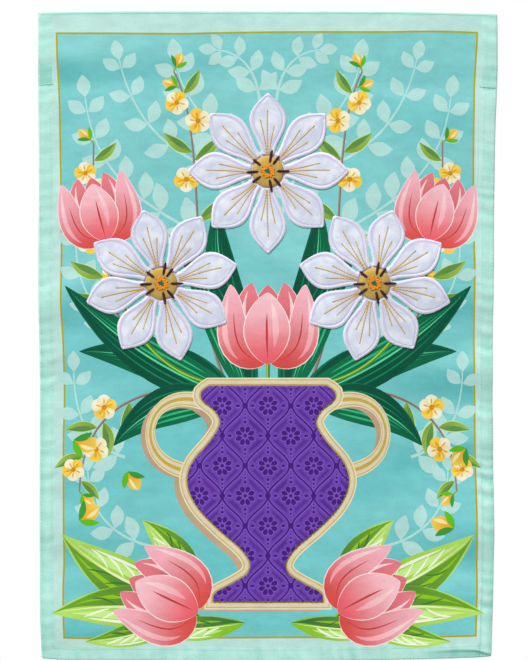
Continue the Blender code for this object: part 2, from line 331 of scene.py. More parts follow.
class Finish(Graph):
    # a material being made: its shader takes values and wires by socket name
    def __init__(self, name, gleam=0.25, sheen=0.06):
        self.material = bpy.data.materials.new(name)
        self.material.use_nodes = True
        super().__init__(self.material.node_tree)
        self.shader = self.tree.nodes["Principled BSDF"]
        self.set(self.shader, {"Specular IOR Level": gleam, "Sheen Weight": sheen, "Sheen Roughness": 0.4})

    def place(self):
        return self.node("TexCoord", {}).part("Object")

    def axes(self):
        split = self.node("SeparateXYZ", {}, self.place())
        return split.part("X"), split.part("Y"), split.part("Z")

    def mottle(self, scale, detail=3.0, roughness=0.55, stretch=(1.0, 1.0, 1.0)):
        place = self.node("VectorMath", {"operation": "MULTIPLY"}, self.place(), stretch)
        sockets = {"Vector": place, "Scale": scale, "Detail": detail, "Roughness": roughness}
        return self.node("TexNoise", {"noise_dimensions": "3D"}, **sockets).part("Fac")

    def painted(self, layer):
        return self.node("VertexColor", {"layer_name": layer})

    def tinted(self, colour, by):
        # a colour made lighter or darker by a value near 1
        return self.node("VectorMath", {"operation": "SCALE"}, colour, Scale=by)

    def mixed(self, factor, first, second):
        made = self.node("Mix", {"data_type": "RGBA"}, factor)
        colours = [socket for socket in made.socket.node.inputs if socket.type == "RGBA"]
        self.feed(colours[0], first)
        self.feed(colours[1], second)
        return made

    def bump(self, height, strength, distance):
        lift = self.node("Bump", {}, Height=height, Strength=strength, Distance=distance * mm)
        self.set(self.shader, {"Normal": lift})

    def looks(self, colour, roughness):
        self.set(self.shader, {"Base Color": colour, "Roughness": roughness})


def toLinear(value):
    return value / 12.92 if value <= 0.04045 else ((value + 0.055) / 1.055) ** 2.4


def colourOf(text):
    return tuple(toLinear(int(text[k:k + 2], 16) / 255) for k in (1, 3, 5))


def blendOf(a, b, share):
    return tuple(p + (q - p) * share for p, q in zip(a, b))


# plain weave of the panel, the hems and the sleeve, in mm; slub is the scale of the yarn's thick places
weave = {"pitch": 0.42, "depth": 0.05, "slub": 900.0, "bump": 0.35}
# how far each thing lightens and darkens the printed colours; the noise of the fine wrinkles paints their
# shade
printed = {"least": 0.70, "patches": 0.07, "wrinkles": 0.38, "slub": 0.14, "threads": 0.01, "roughness": 0.54}
satin = {"float": 0.22, "bend": 1.1, "fibre": 700.0, "depth": 0.04, "roughness": 0.36}
brocade = {"twill": 0.5, "fibre": 800.0, "depth": 0.05, "roughness": 0.40}
thread = {"ply": 1500.0, "patches": 160.0, "depth": 0.03}


def weaveOf(finish, pitch):
    # crossing threads, 0 to 1
    x, _, z = finish.axes()
    turn = 2 * math.pi / (pitch * mm)
    return ((x * turn).sine() * (z * turn).sine()) * 0.5 + 0.5


def printedFinish():
    finish = Finish("printedPolyester", gleam=0.08, sheen=0.0)
    threads = weaveOf(finish, weave["pitch"])
    slub = finish.mottle(weave["slub"])
    wrinkles = finish.mottle(130.0, 4.0, 0.66, (0.45, 1.0, 1.0))  # fine wrinkles, longest across: a bump, and painted shade on the colour
    shade = printed["least"] + finish.mottle(60.0) * printed["patches"] + wrinkles * printed["wrinkles"]
    shade = shade + slub * printed["slub"] + threads * printed["threads"]
    finish.looks(finish.tinted(finish.painted("print"), shade), printed["roughness"] + slub * 0.14)
    finish.bump(threads * 0.7 + slub * 0.6 + wrinkles * 3.0, weave["bump"], weave["depth"])
    return finish.material


def plainFinish(name, colour, shade, roughness=0.6):
    finish = Finish(name, gleam=0.2)
    threads = weaveOf(finish, weave["pitch"])
    slub = finish.mottle(weave["slub"])
    patches = finish.mottle(45.0) * 0.8 + slub * 0.2
    tone = finish.mixed(patches.clamped(), colourOf(colour), colourOf(shade))
    finish.looks(tone, roughness - 0.06 + slub * 0.12)
    finish.bump(threads * 0.7 + slub * 0.6, weave["bump"], weave["depth"])
    return finish.material


def satinFinish():
    # close floats running down the cloth, with a soft gleam
    finish = Finish("whiteSatin", gleam=0.45)
    x, _, z = finish.axes()
    across, down = (2 * math.pi / (satin[key] * mm) for key in ("float", "bend"))
    floats = (x * across + (z * down).sine()).sine() * 0.5 + 0.5
    fibre = finish.mottle(satin["fibre"])
    shade = 0.965 + fibre * 0.05 + floats * 0.01
    finish.looks(finish.tinted(finish.painted("print"), shade), satin["roughness"] + fibre * 0.14)
    finish.bump(floats * 0.5 + fibre * 0.5, 0.3, satin["depth"])
    return finish.material


def brocadeFinish():
    finish = Finish("purpleBrocade", gleam=0.3, sheen=0.1)
    x, _, z = finish.axes()
    twill = ((x + z) * (2 * math.pi / (brocade["twill"] * mm))).sine() * 0.5 + 0.5
    fibre = finish.mottle(brocade["fibre"])
    shade = 0.88 + finish.mottle(70.0) * 0.16 + fibre * 0.06 + twill * 0.04
    finish.looks(finish.tinted(finish.painted("print"), shade), brocade["roughness"] + fibre * 0.16)
    finish.bump(twill * 0.5 + fibre * 0.6, 0.35, brocade["depth"])
    return finish.material


def threadFinish(name, colour, shade, roughness=0.38):
    finish = Finish(name, gleam=0.4, sheen=0.08)
    plies = finish.mottle(thread["ply"], 2.0)
    patches = finish.mottle(thread["patches"]) * 0.6 + plies * 0.4
    tone = finish.mixed(patches.clamped(), colourOf(shade), colourOf(colour))
    finish.looks(tone, roughness - 0.08 + plies * 0.16)
    finish.bump(plies, 0.3, thread["depth"])
    return finish.material


def floorFinish():
    finish = Finish("paleFloor")
    finish.looks(finish.mixed(finish.mottle(3.0), (0.90, 0.90, 0.90), (0.94, 0.94, 0.94)), 0.9)
    return finish.material


print("finishes")
finishes = {
    "printed": printedFinish(),
    "hem": plainFinish("mintHemCloth", "#B4E3D5", "#A3D9C9"),
    "sleeve": plainFinish("mintSleeveCloth", "#B9E4DA", "#A8DACE"),
    "satin": satinFinish(),
    "brocade": brocadeFinish(),
    "white": threadFinish("whiteThread", "#F5F3FD", "#E0DDF1"),
    "gold": threadFinish("goldThread", "#DDBD66", "#C09A42"),
    "brown": threadFinish("brownThread", "#5A2B2E", "#3B1A1F"),
    "orange": threadFinish("orangeThread", "#FFAA22", "#E88A10"),
    "green": threadFinish("greenThread", "#0F8A62", "#0A5E44"),
    "mint": threadFinish("mintThread", "#C6ECE1", "#A9DDCF", 0.5),
    "purple": threadFinish("purpleThread", "#5B2C9B", "#3D1A73"),
}


def addObject(name, data):
    made = bpy.data.objects.new(name, data)
    bpy.context.scene.collection.objects.link(made)
    return made


def addPiece(name, points, faces, finish, colours=None):
    mesh = bpy.data.meshes.new(name)
    mesh.from_pydata(points, [], faces)
    if colours is not None:
        layer = mesh.color_attributes.new("print", "FLOAT_COLOR", "CORNER")
        layer.data.foreach_set("color", np.asarray(colours, np.float32).ravel())
    mesh.validate()
    mesh.shade_smooth()
    mesh.materials.append(finishes[finish])
    piece = addObject(name, mesh)
    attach(piece, "root")
    return piece


def fairNormals(mesh):
    # normals by area, so that the slivers beside a printed outline leave no smudge
    count = len(mesh.polygons)
    normals, areas, sizes = np.empty(count * 3), np.empty(count), np.empty(count, np.int32)
    mesh.polygons.foreach_get("normal", normals)
    mesh.polygons.foreach_get("area", areas)
    mesh.polygons.foreach_get("loop_total", sizes)
    corners = np.empty(len(mesh.loops), np.int32)
    mesh.loops.foreach_get("vertex_index", corners)
    weighted = np.repeat(normals.reshape(-1, 3) * areas[:, None], sizes, axis=0)
    totals = np.zeros((len(mesh.vertices), 3))
    np.add.at(totals, corners, weighted)
    totals /= np.maximum(np.linalg.norm(totals, axis=1, keepdims=True), 1e-12)
    mesh.normals_split_custom_set_from_vertices(totals.tolist())


# Artwork: outlines painted one over the other. A later outline covers an earlier one.
def onCurve(path, share):
    points = [tuple(point) for point in path]
    while len(points) > 1:
        points = [blendOf(a, b, share) for a, b in zip(points, points[1:])]
    return points[0]


def along(path, count):
    return [onCurve(path, k / count) for k in range(count + 1)]


def straight(base, tip):
    return (base, blendOf(base, tip, 0.5), tip)


def eased(count):
    # shares from 0 to 1, closer together at both ends
    return [0.5 - 0.5 * math.cos(math.pi * k / count) for k in range(count + 1)]


def closed(line):
    return line + line[:1]


def areaOf(line):
    return sum(a[0] * b[1] - b[0] * a[1] for a, b in zip(line, closed(line)[1:])) / 2


def normalsOf(line):
    result = []
    for k in range(len(line)):
        a, b = line[max(k - 1, 0)], line[min(k + 1, len(line) - 1)]
        length = math.dist(a, b) or 1.0
        result.append(((a[1] - b[1]) / length, (b[0] - a[0]) / length))
    return result


def stepOff(point, direction, distance):
    return (point[0] + direction[0] * distance, point[1] + direction[1] * distance)


def mirrored(side, *points):
    return [(side * x, depth) for x, depth in points]


def shifted(line, across, down):
    return [(x + across, depth + down) for x, depth in line]


def leaning(normal, side, lean):
    # the way on from a stem, turned by an angle to one side
    return (
        normal[1] * math.cos(lean) + normal[0] * side * math.sin(lean),
        -normal[0] * math.cos(lean) + normal[1] * side * math.sin(lean),
    )


def bothSides(line, halves):
    normals = normalsOf(line)
    left = [stepOff(point, normal, half) for point, normal, half in zip(line, normals, halves)]
    right = [stepOff(point, normal, -half) for point, normal, half in zip(line, normals, halves)]
    return left + right[::-1]


def ribbon(line, width):
    # width is a number, or a function of the share of the length
    last = len(line) - 1
    return bothSides(line, [(width(k / last) if callable(width) else width) / 2 for k in range(last + 1)])


def swell(share, widest, point):
    # 0 at both ends and 1 at the widest place
    return max(0.0, math.sin(math.pi * share ** (math.log(0.5) / math.log(widest)))) ** point


def bent(base, tip, bend):
    dx, dy = tip[0] - base[0], tip[1] - base[1]
    return (base, (base[0] + dx / 2 - dy * bend, base[1] + dy / 2 + dx * bend), tip)


def outAndAside(angle):
    # the way out from a blossom's middle, and the way to its side
    out = (math.cos(angle), -math.sin(angle))
    return out, (out[1], -out[0])


def blade(path, width, widest=0.42, point=0.9, count=14):
    shares = eased(count)
    halves = [(width * swell(share, widest, point) + 0.15) / 2 for share in shares]
    return bothSides([onCurve(path, share) for share in shares], halves)


def slash(path, width, low, high, thick, widest=0.42, point=0.9):
    # a short stroke on a blade, from one place to another: share of the length, share of the half width
    line = along(path, 24)
    normals = normalsOf(line)
    places = []
    for k in range(7):
        share, across = blendOf(low, high, k / 6)
        across += 0.10 * math.sin(math.pi * k / 6)
        below = min(23, int(share * 24))
        middle = blendOf(line[below], line[below + 1], share * 24 - below)
        places.append(stepOff(middle, normals[below], width * swell(share, widest, point) / 2 * across))
    return ribbon(places, lambda share: thick * math.sin(math.pi * (0.08 + 0.84 * share)) ** 0.8)


def streak(path, width, low, high, start=0.06, stop=0.94, widest=0.42, point=0.9, count=12):
    # a lengthwise stripe between two shares of a blade's half width
    line = along(path, 24)
    normals = normalsOf(line)
    inner, outer = [], []
    for k in range(count + 1):
        share = start + (stop - start) * k / count
        below = min(23, int(share * 24))
        middle = blendOf(line[below], line[below + 1], share * 24 - below)
        normal = blendOf(normals[below], normals[below + 1], share * 24 - below)
        half = width * swell(share, widest, point) / 2
        reach = (high - low) / 2 * math.sin(math.pi * k / count) ** 0.6
        inner.append(stepOff(middle, normal, half * ((low + high) / 2 - reach)))
        outer.append(stepOff(middle, normal, half * ((low + high) / 2 + reach)))
    return inner + outer[::-1]


def ring(x, depth, radius, count=14):
    turn = 2 * math.pi / count
    return [(x + radius * math.cos(turn * k), depth + radius * math.sin(turn * k)) for k in range(count)]


class Artwork:
    # outlines with their colours, in the order in which they are painted
    def __init__(self):
        self.shapes = []

    def paint(self, outline, colour, ends=None, rise=0.0):
        # colour is one colour, a function of the place, or a pair that turns from one end to the other
        first, second = colour if isinstance(colour, tuple) else (colour, None)
        area = areaOf(outline)
        self.shapes.append({
            "line": outline if area > 0 else outline[::-1],
            "first": first if callable(first) else colourOf(first),
            "second": colourOf(second) if second else None,
            "ends": ends,
            "rise": rise,
            "area": abs(area),
        })


def shapeColour(shape, x, depth):
    first = shape["first"]
    if callable(first):
        return first(x, depth)
    if shape["second"] is None:
        return first
    (ax, ay), (bx, by) = shape["ends"]
    dx, dy = bx - ax, by - ay
    share = ((x - ax) * dx + (depth - ay) * dy) / (dx * dx + dy * dy or 1.0)
    return blendOf(first, shape["second"], smoothStep(0, 1, share))


class Layer:
    # one side of a cut piece: its triangles, each with the colour of the outline that lies uppermost there
    def __init__(self, outline, shapes, inside, ground):
        lines = [outline] + [shape["line"] for shape in shapes]
        points, faces = [], []
        for line in lines:
            faces.append(list(range(len(points), len(points) + len(line))))
            points += [Vector(point) for point in line]
        points += [Vector(point) for point in inside]
        flat, _, corners, sources, _, owners = delaunay_2d_cdt(points, [], faces, 1, 1e-4, True)
        self.flat = [tuple(point) for point in flat]
        self.triangles, self.colours = [], []
        rises, counts = [0.0] * len(flat), [0] * len(flat)
        bare = {"first": ground, "second": None, "rise": 0.0}
        for triangle, owner in zip(corners, owners):
            if 0 not in owner:
                continue
            shape = shapes[max(owner) - 1] if max(owner) else bare
            self.triangles.append(tuple(triangle))
            self.colours.append([shapeColour(shape, *self.flat[corner]) for corner in triangle])
            for corner in triangle:
                rises[corner] += shape["rise"]
                counts[corner] += 1
        self.rises = [rise / max(count, 1) for rise, count in zip(rises, counts)]
        self.rim = [None] * len(outline)  # points of the cut edge, in order
        for place, origins in enumerate(sources):
            for origin in origins:
                if origin < len(outline):
                    self.rim[origin] = place


threadSection = ((-1.0, 0.0), (-0.55, 0.8), (0.0, 1.0), (0.55, 0.8), (1.0, 0.0))  # across, up


class Body:
    # points, faces and corner colours of a piece while it is put together
    def __init__(self):
        self.points, self.faces, self.colours = [], [], []

    def addLayer(self, layer, place, towardsViewer=True, tone=None):
        start = len(self.points)
        used = sorted({corner for triangle in layer.triangles for corner in triangle})
        number = {corner: start + k for k, corner in enumerate(used)}
        self.points += [place(*layer.flat[corner], layer.rises[corner]) for corner in used]
        for triangle, colours in zip(layer.triangles, layer.colours):
            order = (2, 1, 0) if towardsViewer else (0, 1, 2)
            self.faces.append([number[triangle[k]] for k in order])
            self.colours += [(*(tone(colours[k]) if tone else colours[k]), 1.0) for k in order]
        return [number[corner] for corner in layer.rim]

    def addRim(self, front, back, colour):
        for k in range(len(front)):
            following = (k + 1) % len(front)
            self.faces.append([front[k], front[following], back[following], back[k]])
            self.colours += [(*colour, 1.0)] * 4

    def addGrid(self, rows, colours=None):
        # rows of points seen from the front: downwards, each from left to right
        start, width = len(self.points), len(rows[0])
        self.points += [point for row in rows for point in row]
        for r in range(len(rows) - 1):
            for c in range(width - 1):
                corner = (start + r * width + c, start + (r + 1) * width + c)
                self.faces.append([corner[0], corner[1], corner[1] + 1, corner[0] + 1])
                if colours:
                    picks = (colours[r][c], colours[r + 1][c], colours[r + 1][c + 1], colours[r][c + 1])
                    self.colours += [(*pick, 1.0) for pick in picks]

    def addStrand(self, line, place, width, height, towardsViewer=True, base=0.0):
        # a thread lying along a flat line, tapering down into the cloth at both ends
        last = len(line) - 1
        rows = []
        for k, (point, normal) in enumerate(zip(line, normalsOf(line))):
            full, rising = (0.45, 0.1) if k in (0, last) else (1.0, 1.0)
            row = []
            for across, up in threadSection:
                at = stepOff(point, normal, across * full * width / 2)
                row.append(place(*at, base + height * up * rising))
            rows.append(row if towardsViewer else row[::-1])
        self.addGrid(rows)

    def piece(self, name, finish, fair=False):
        made = addPiece(name, self.points, self.faces, finish, self.colours or None)
        if fair:
            fairNormals(made.data)
        return made


def dashes(line, pitch, length, first=0.0):
    # short flat lines of stitches along a longer one
    found, travelled, due = [], 0.0, first
    for a, b in zip(line, line[1:]):
        gap = math.dist(a, b)
        while due <= travelled + gap:
            middle = blendOf(a, b, (due - travelled) / (gap or 1.0))
            ahead = ((b[0] - a[0]) / gap, (b[1] - a[1]) / gap)
            found.append([stepOff(middle, ahead, length * share) for share in (-0.5, -0.36, 0.36, 0.5)])
            due += pitch
        travelled += gap
    return found


urn = {
    "lift": 0.95,
    "rings": (0.2, 0.5, 0.9, 1.4),  # insets of the points that round its edge
    "turned": 0.85,  # how far its edge turns down, and over what width
    "turnedWidth": 1.1,
    "across": 32.0,  # of each opening of the brocade's net
    "down": 42.0,
    "first": 255.0,  # depth of its uppermost knots
    "apart": 1.0,  # half the gap between two lines at a knot
    "line": 1.3,
    "knot": 2.1,
    "rosette": {"petals": 8, "from": 2.3, "to": 7.0, "width": 3.3, "eye": 1.35},
    "berries": ((9.6, 1.15), (12.6, 0.9), (15.0, 0.65)),  # distance from the rosette's middle, radius
    "lozenge": {"from": 9.0, "to": 12.6, "width": 2.0},
    "spread": {"halo": 4.0, "edge": 0.9, "dark": 0.0},  # how much wider each tone's shapes are
    "rise": {"halo": 0.04, "edge": -0.02, "dark": -0.16},
    "purple": "#5C2B98",
    "deep": "#542690",
    "halo": "#6A3EAA",
    "edge": "#8257C6",
    "dark": "#43107C",
    "spacing": 1.6,
}
petal = {
    "count": 8,
    "half": 11.4,  # half the width, with what the base and the tip add to it
    "baseHalf": 3.6,
    "tipHalf": 0.8,
    "widest": 0.60,
    "sway": 0.5,
    "clear": 0.7,
    "shorter": 0.06,
    "turn": 2.4,
    "lift": 0.72,  # of its face over the cloth, then what the padding and the unevenness add
    "puff": 0.55,
    "soft": 0.22,
    "lengthwise": 0.18,
    "vein": 0.22,  # depth of the hollow along a vein
    "veinWidth": 0.7,
    "rim": 2.6,  # width of the stitched edge
    "rimLift": 1.15,
    "pitch": 0.5,  # between the stitches of the edge
    "down": 0.02,  # lift of its lower edge over the cloth
    "face": "#D9DFEF",
    "pale": "#E9EDF7",
    "shade": "#CBD1E5",
    # a line inside the stitched edge: lavender tint and painted shade at the foot of the raised edge
    "lavender": "#C6C2E4",
    "base": "#CFD0E7",
    "print": "#D9DBEC",
}
centre = {
    "radius": 11.0,
    "height": 1.9,
    "level": 6.5,  # radius within which the padding is level
    "ring": 5.2,
    "threads": 132,
    "rays": 8,
    "rayFrom": 6.2,
    "rayTo": 14.2,
    "rayWidth": 2.0,
    "knots": 30,
    "green": 5,  # how many of them are green
    "knot": 0.95,
    "knotsWithin": 4.5,
}
# name, x, depth, reach, turn in degrees
blossoms = (
    ("upper", 0.0, 112.0, 57.0, 90), ("left", -74.5, 190.5, 55.0, 104), ("right", 74.5, 190.5, 55.0, 76),
)


class Petal:
    veins = ((0.0, 0.74), (-1.0, 0.50), (1.0, 0.56))  # side, share of the length at which each ends

    def __init__(self, blossom, number):
        self.name, self.x, self.depth, reach, turn = blossom
        self.number = number
        self.start = centre["radius"] + petal["clear"]
        wave = petal["turn"] * number
        self.length = (reach - self.start) * (1 - petal["shorter"] * (1 + math.cos(wave)) / 2)
        self.sway = petal["sway"] * math.sin(wave)
        self.out, self.side = outAndAside(math.radians(turn + 360 * number / petal["count"]))

    def half(self, share):
        swelling = swell(share, petal["widest"], 1.0)
        return petal["half"] * swelling + petal["baseHalf"] * (1 - share) ** 2 + petal["tipHalf"]

    def flat(self, share, aside):
        # x and depth of a place: share of the length from the base, and mm to the side
        middle = stepOff((self.x, self.depth), self.out, self.start + self.length * share)
        return stepOff(middle, self.side, aside + self.sway * math.sin(math.pi * share))

    def hollow(self, share, aside):
        # how far the veins' stitches draw the satin in
        total = 0.0
        for k, (_, stop) in enumerate(self.veins):
            ends = smoothStep(0.0, 0.05, share) * (1 - smoothStep(stop - 0.05, stop, share))
            total += petal["vein"] * bell(aside - self.veinAt(k, share), petal["veinWidth"]) * ends
        return total

    def lift(self, share, aside):
        # the padded face of the satin above the printed cloth
        inside = max(0.0, self.half(share) - abs(aside) - petal["rim"] * 0.6)
        puff = petal["puff"] * (1 - math.exp(-inside / 2.2))
        x, depth = self.flat(share, aside)
        soft = petal["soft"] * noise.noise(Vector((x / 9, depth / 9, self.number + 2.0)))
        grain = Vector((aside / 2.6, self.length * share / 16, self.number + 5.0))
        soft += petal["lengthwise"] * noise.noise(grain)
        return petal["lift"] + puff + soft * min(1.0, inside / 3) - self.hollow(share, aside)

    def veinAt(self, k, share):
        side = self.veins[k][0]
        if not side:
            return 0.5 * math.sin(3.4 * share + self.number)
        return side * (1.1 + 5.2 * smoothStep(0.0, 0.8, share))

    def outline(self, steps=64, within=0.0):
        halves = [(share, max(0.2, self.half(share) - within)) for share in eased(steps)]
        line = [self.flat(share, half) for share, half in halves]
        return line + [self.flat(share, -half) for share, half in reversed(halves)]


# The printed design: a generic bouquet in an urn, in colours like those of the real flag.
# A pair of colours turns from the first into the second.
tones = {
    "spray": "#B3DFD8",
    "stem": "#A08878",
    "stemShade": "#7A6468",
    "stalk": "#8FA83A",
    "bud": ("#EDA412", "#EDCB55"),
    "budLight": "#F3E7AE",
    "sepals": ("#62BC24", "#3F9A3A"),
    "bloom": (("#EEDD8A", "#F3EFD6"), ("#E9B116", "#F8D050")),
    "bloomLight": ("#FBF6DC", "#FBDC74"),
    "bloomStreak": "#E89A10",
    "bloomMiddle": "#E4820C",
    "tulipEdge": ("#F6D9D8", "#FBE9E6"),
    "tulipLight": ("#F28C98", "#FBDCDD"),
    "tulipDark": "#C23A3E",
    "tulipStem": ("#4E8A3E", "#A6D83A"),
}
# leaves: the blade's shape, the steps of the blade and of its stripes, and its colours; then the stripes
# and the rib: from and to across in half widths, from and to along in lengths, colours
leaves = {
    "dark": {
        "shape": {"widest": 0.40, "point": 0.85},
        "steps": (20, 12),
        "blade": ("#10734B", "#0C6243"),
        "stripes": (
            (-1.0, -0.02, 0.0, 1.0, "#0B523D"),
            (0.15, 0.26, 0.10, 0.88, ("#3FC487", "#1E9A66")),
            (0.40, 0.51, 0.14, 0.80, ("#3FC487", "#1E9A66")),
            (0.66, 0.77, 0.20, 0.72, ("#3FC487", "#1E9A66")),
            (-0.32, -0.25, 0.12, 0.84, "#17865A"),
            (-0.62, -0.55, 0.18, 0.74, "#17865A"),
        ),
        "rib": (-0.04, 0.05, 0.02, 0.97, "#63D8A0"),
    },
    "lime": {
        "shape": {"widest": 0.45, "point": 0.9},
        "steps": (18, 12),
        "blade": ("#86C022", "#B4E068"),
        "stripes": (
            (-1.0, -0.05, 0.0, 1.0, ("#3E6E3A", "#6FA72C")),
            (-0.62, -0.40, 0.22, 0.86, "#8CC522"),
            (0.20, 0.62, 0.22, 0.88, ("#B4E980", "#CFEF92")),
            (0.66, 0.80, 0.34, 0.78, "#F2FBDC"),
        ),
        "rib": (-0.06, 0.06, 0.02, 0.97, "#E3F5B0"),
        # short strokes: where they start, how far they run on, from and to across, thickness, colour
        "strokes": (
            ((0.26, 0.38, 0.50, 0.62), 0.17, 0.10, 0.66, 1.5, "#F2FBDC"),
            ((0.30, 0.44, 0.58), 0.15, -0.10, -0.60, 1.2, "#3E7A34"),
        ),
    },
    "olive": {
        "shape": {"widest": 0.45, "point": 0.95},
        "steps": (10, 8),
        "edge": "#C9E58A",
        "blade": ("#7FA33A", "#94BB55"),
        "stripes": ((-0.95, -0.05, 0.03, 0.97, "#5E8F45"),),
        "rib": (-0.06, 0.06, 0.03, 0.9, "#4E7359"),
    },
}


def paintLeaf(art, kind, base, tip, width, bend, side):
    look = leaves[kind]
    path, ends, shape = bent(base, tip, bend), (base, tip), look["shape"]
    bladeSteps, steps = look["steps"]
    if "edge" in look:
        art.paint(blade(path, width + 1.0, count=bladeSteps, **shape), look["edge"])
    art.paint(blade(path, width, count=bladeSteps, **shape), look["blade"], ends)
    for low, high, start, stop, colour in look["stripes"]:
        stripe = streak(path, width, low * side, high * side, start, stop, count=steps, **shape)
        art.paint(stripe, colour, ends)
    *places, colour = look["rib"]
    art.paint(streak(path, width, *places, count=steps, **shape), colour)
    for starts, on, low, high, thick, colour in look.get("strokes", ()):
        for start in starts:
            stroke = slash(path, width, (start, low * side), (start + on, high * side), thick, **shape)
            art.paint(stroke, colour)


def paleSpray(art, path, pairs, length, width):
    steps = 28
    line = along(path, steps)
    art.paint(ribbon(line, lambda share: 2.2 * (1 - 0.6 * share)), tones["spray"])
    normals = normalsOf(line)
    for pair in range(pairs):
        share = 0.12 + 0.81 * pair / (pairs - 1)
        point, normal = line[int(share * steps)], normals[int(share * steps)]
        for side in (-1, 1):
            ahead = leaning(normal, side, math.radians(52 + 5 * math.sin(3.1 * pair + side)))
            base = stepOff(point, ahead, 0.9)
            tip = stepOff(point, ahead, 0.9 + length * (1 - 0.34 * share))
            leaf = blade(bent(base, tip, side * 0.14), width * (1 - 0.25 * share), 0.5, 0.95, 9)
            art.paint(leaf, tones["spray"])
    tip = stepOff(line[-1], (normals[-1][1], -normals[-1][0]), length * 0.72)
    art.paint(blade(straight(line[-1], tip), width * 0.8, 0.5, 0.95, 9), tones["spray"])


def yellowBloom(art, x, depth, radius, turn):
    middle, width = (x, depth), radius * 0.96
    for number in range(5):
        angle = turn + 2 * math.pi * number / 5
        tip = (x + radius * math.cos(angle), depth + radius * math.sin(angle))
        path, tone = straight(middle, tip), number % 2
        art.paint(blade(path, width, 0.64, 0.6, 9), tones["bloom"][tone], (middle, tip))
        light = streak(path, width, -0.5, -0.3, 0.3, 0.85, 0.64, 0.6, 6)
        art.paint(light, tones["bloomLight"][tone])
        art.paint(streak(path, width, -0.12, 0.12, 0.16, 0.7, 0.64, 0.6, 6), tones["bloomStreak"])
    art.paint(ring(x, depth, radius * 0.21, 10), tones["bloomMiddle"])
    art.paint(ring(x - radius * 0.03, depth - radius * 0.03, radius * 0.11, 8), tones["stalk"])


def yellowBud(art, base, tip, width):
    path = straight(base, tip)
    art.paint(blade(path, width, 0.55, 0.7, 9), tones["bud"], (base, tip))
    art.paint(streak(path, width, 0.1, 0.6, 0.3, 0.95, 0.55, 0.7, 6), tones["budLight"])
    for lean, colour in zip((-0.55, 0.55), tones["sepals"]):
        end = stepOff(blendOf(base, tip, 0.62), (tip[1] - base[1], base[0] - tip[0]), lean)
        art.paint(blade(bent(base, end, 0.12), width * 0.42, 0.5, 0.8, 7), colour)


def looseBud(art, x, depth, size, turn):
    ahead = (math.cos(math.radians(turn)), math.sin(math.radians(turn)))
    yellowBud(art, (x, depth), stepOff((x, depth), ahead, size), size * 0.66)


def sprig(art, side, path, stations):
    # stations: share of the stem, kind, side, size
    steps = 40
    line = along(mirrored(side, *path), steps)
    art.paint(ribbon(line, lambda share: 2.3 * (1 - 0.5 * share)), tones["stem"])
    art.paint(ribbon(shifted(line, 0.4, 0.1), lambda share: 0.8 * (1 - 0.5 * share)), tones["stemShade"])
    normals = normalsOf(line)
    for share, kind, hand, size in stations:
        point, hand = line[int(share * steps)], side * hand
        ahead = leaning(normals[int(share * steps)], hand, math.radians(50))
        if kind == "leaf":
            base = stepOff(point, ahead, 1.0)
            paintLeaf(art, "olive", base, stepOff(base, ahead, size), size * 0.32, hand * 0.14, hand)
        elif kind == "bloom":
            middle = stepOff(point, ahead, size * 0.9)
            art.paint(ribbon(straight(point, middle), 1.3), tones["stalk"])
            yellowBloom(art, *middle, size, share * 9)
        else:
            base = stepOff(point, ahead, 3)
            art.paint(ribbon(straight(point, base), 1.1), tones["stalk"])
            yellowBud(art, base, stepOff(base, ahead, size), size * 0.62)


# path of each petal of a tulip, one unit high; then width, widest, colours, light streak, dark streak
tulipPetals = (
    (((0.0, -0.1), (0.0, -0.5), (0.0, -0.97)), 0.44, 0.5, ("#A82020", "#E2737C"), None, None),
    (((-0.04, -0.1), (-0.34, -0.5), (-0.20, -1.0)), 0.36, 0.5, ("#B5353A", "#E9808A"), (-0.5, -0.2), None),
    (((0.04, -0.1), (0.34, -0.5), (0.20, -1.0)), 0.36, 0.5, ("#B5353A", "#E9808A"), (0.2, 0.5), None),
    (((-0.04, 0.0), (-0.60, -0.06), (-0.40, -0.62), (-0.47, -0.98)), 0.38, 0.42, ("#D94F4A", "#F7B8C4"),
     (-0.72, -0.35), (0.10, 0.20)),
    (((0.04, 0.0), (0.60, -0.06), (0.40, -0.62), (0.47, -0.98)), 0.38, 0.42, ("#D94F4A", "#F7B8C4"),
     (0.35, 0.72), (-0.20, -0.10)),
    (((0.0, 0.02), (-0.03, -0.45), (0.0, -0.88)), 0.56, 0.46, ("#E8606A", "#F9C6CE"),
     (0.25, 0.55), (-0.05, 0.05)),
)


def tulip(art, x, depth, size, turn):
    cosine, sine = math.cos(math.radians(turn)), math.sin(math.radians(turn))
    for path, width, widest, colours, light, dark in tulipPetals:
        path = [(x + size * (a * cosine - b * sine), depth + size * (a * sine + b * cosine)) for a, b in path]
        ends, shape = (path[0], path[-1]), {"widest": widest, "point": 0.72}
        art.paint(blade(path, (width + 0.03) * size, count=18, **shape), tones["tulipEdge"], ends)
        art.paint(blade(path, width * size, count=18, **shape), colours, ends)
        if light:
            stripe = streak(path, width * size, *light, 0.22, 0.90, **shape)
            art.paint(stripe, tones["tulipLight"], ends)
        if dark:
            art.paint(streak(path, width * size, *dark, 0.05, 0.72, **shape), tones["tulipDark"])


def tulipStem(art, path, width=2.8):
    line = along(path, 24)
    art.paint(ribbon(line, width), tones["tulipStem"][0])
    art.paint(ribbon(shifted(line, -0.6, 0.0), width * 0.3), tones["tulipStem"][1])


# depth, half width of the urn, as in its solid
urnRows = (
    (262, 41.0), (266, 46.5), (272, 46.0), (279, 37.5), (288, 33.5), (300, 40.0), (316, 53.0), (330, 56.5),
    (346, 50.0), (362, 35.0), (376, 19.0), (386, 12.6), (394, 15.0), (401, 26.0), (407, 37.0), (413, 38.5),
)
urnTop, urnFoot = urnRows[0][0], urnRows[-1][0]


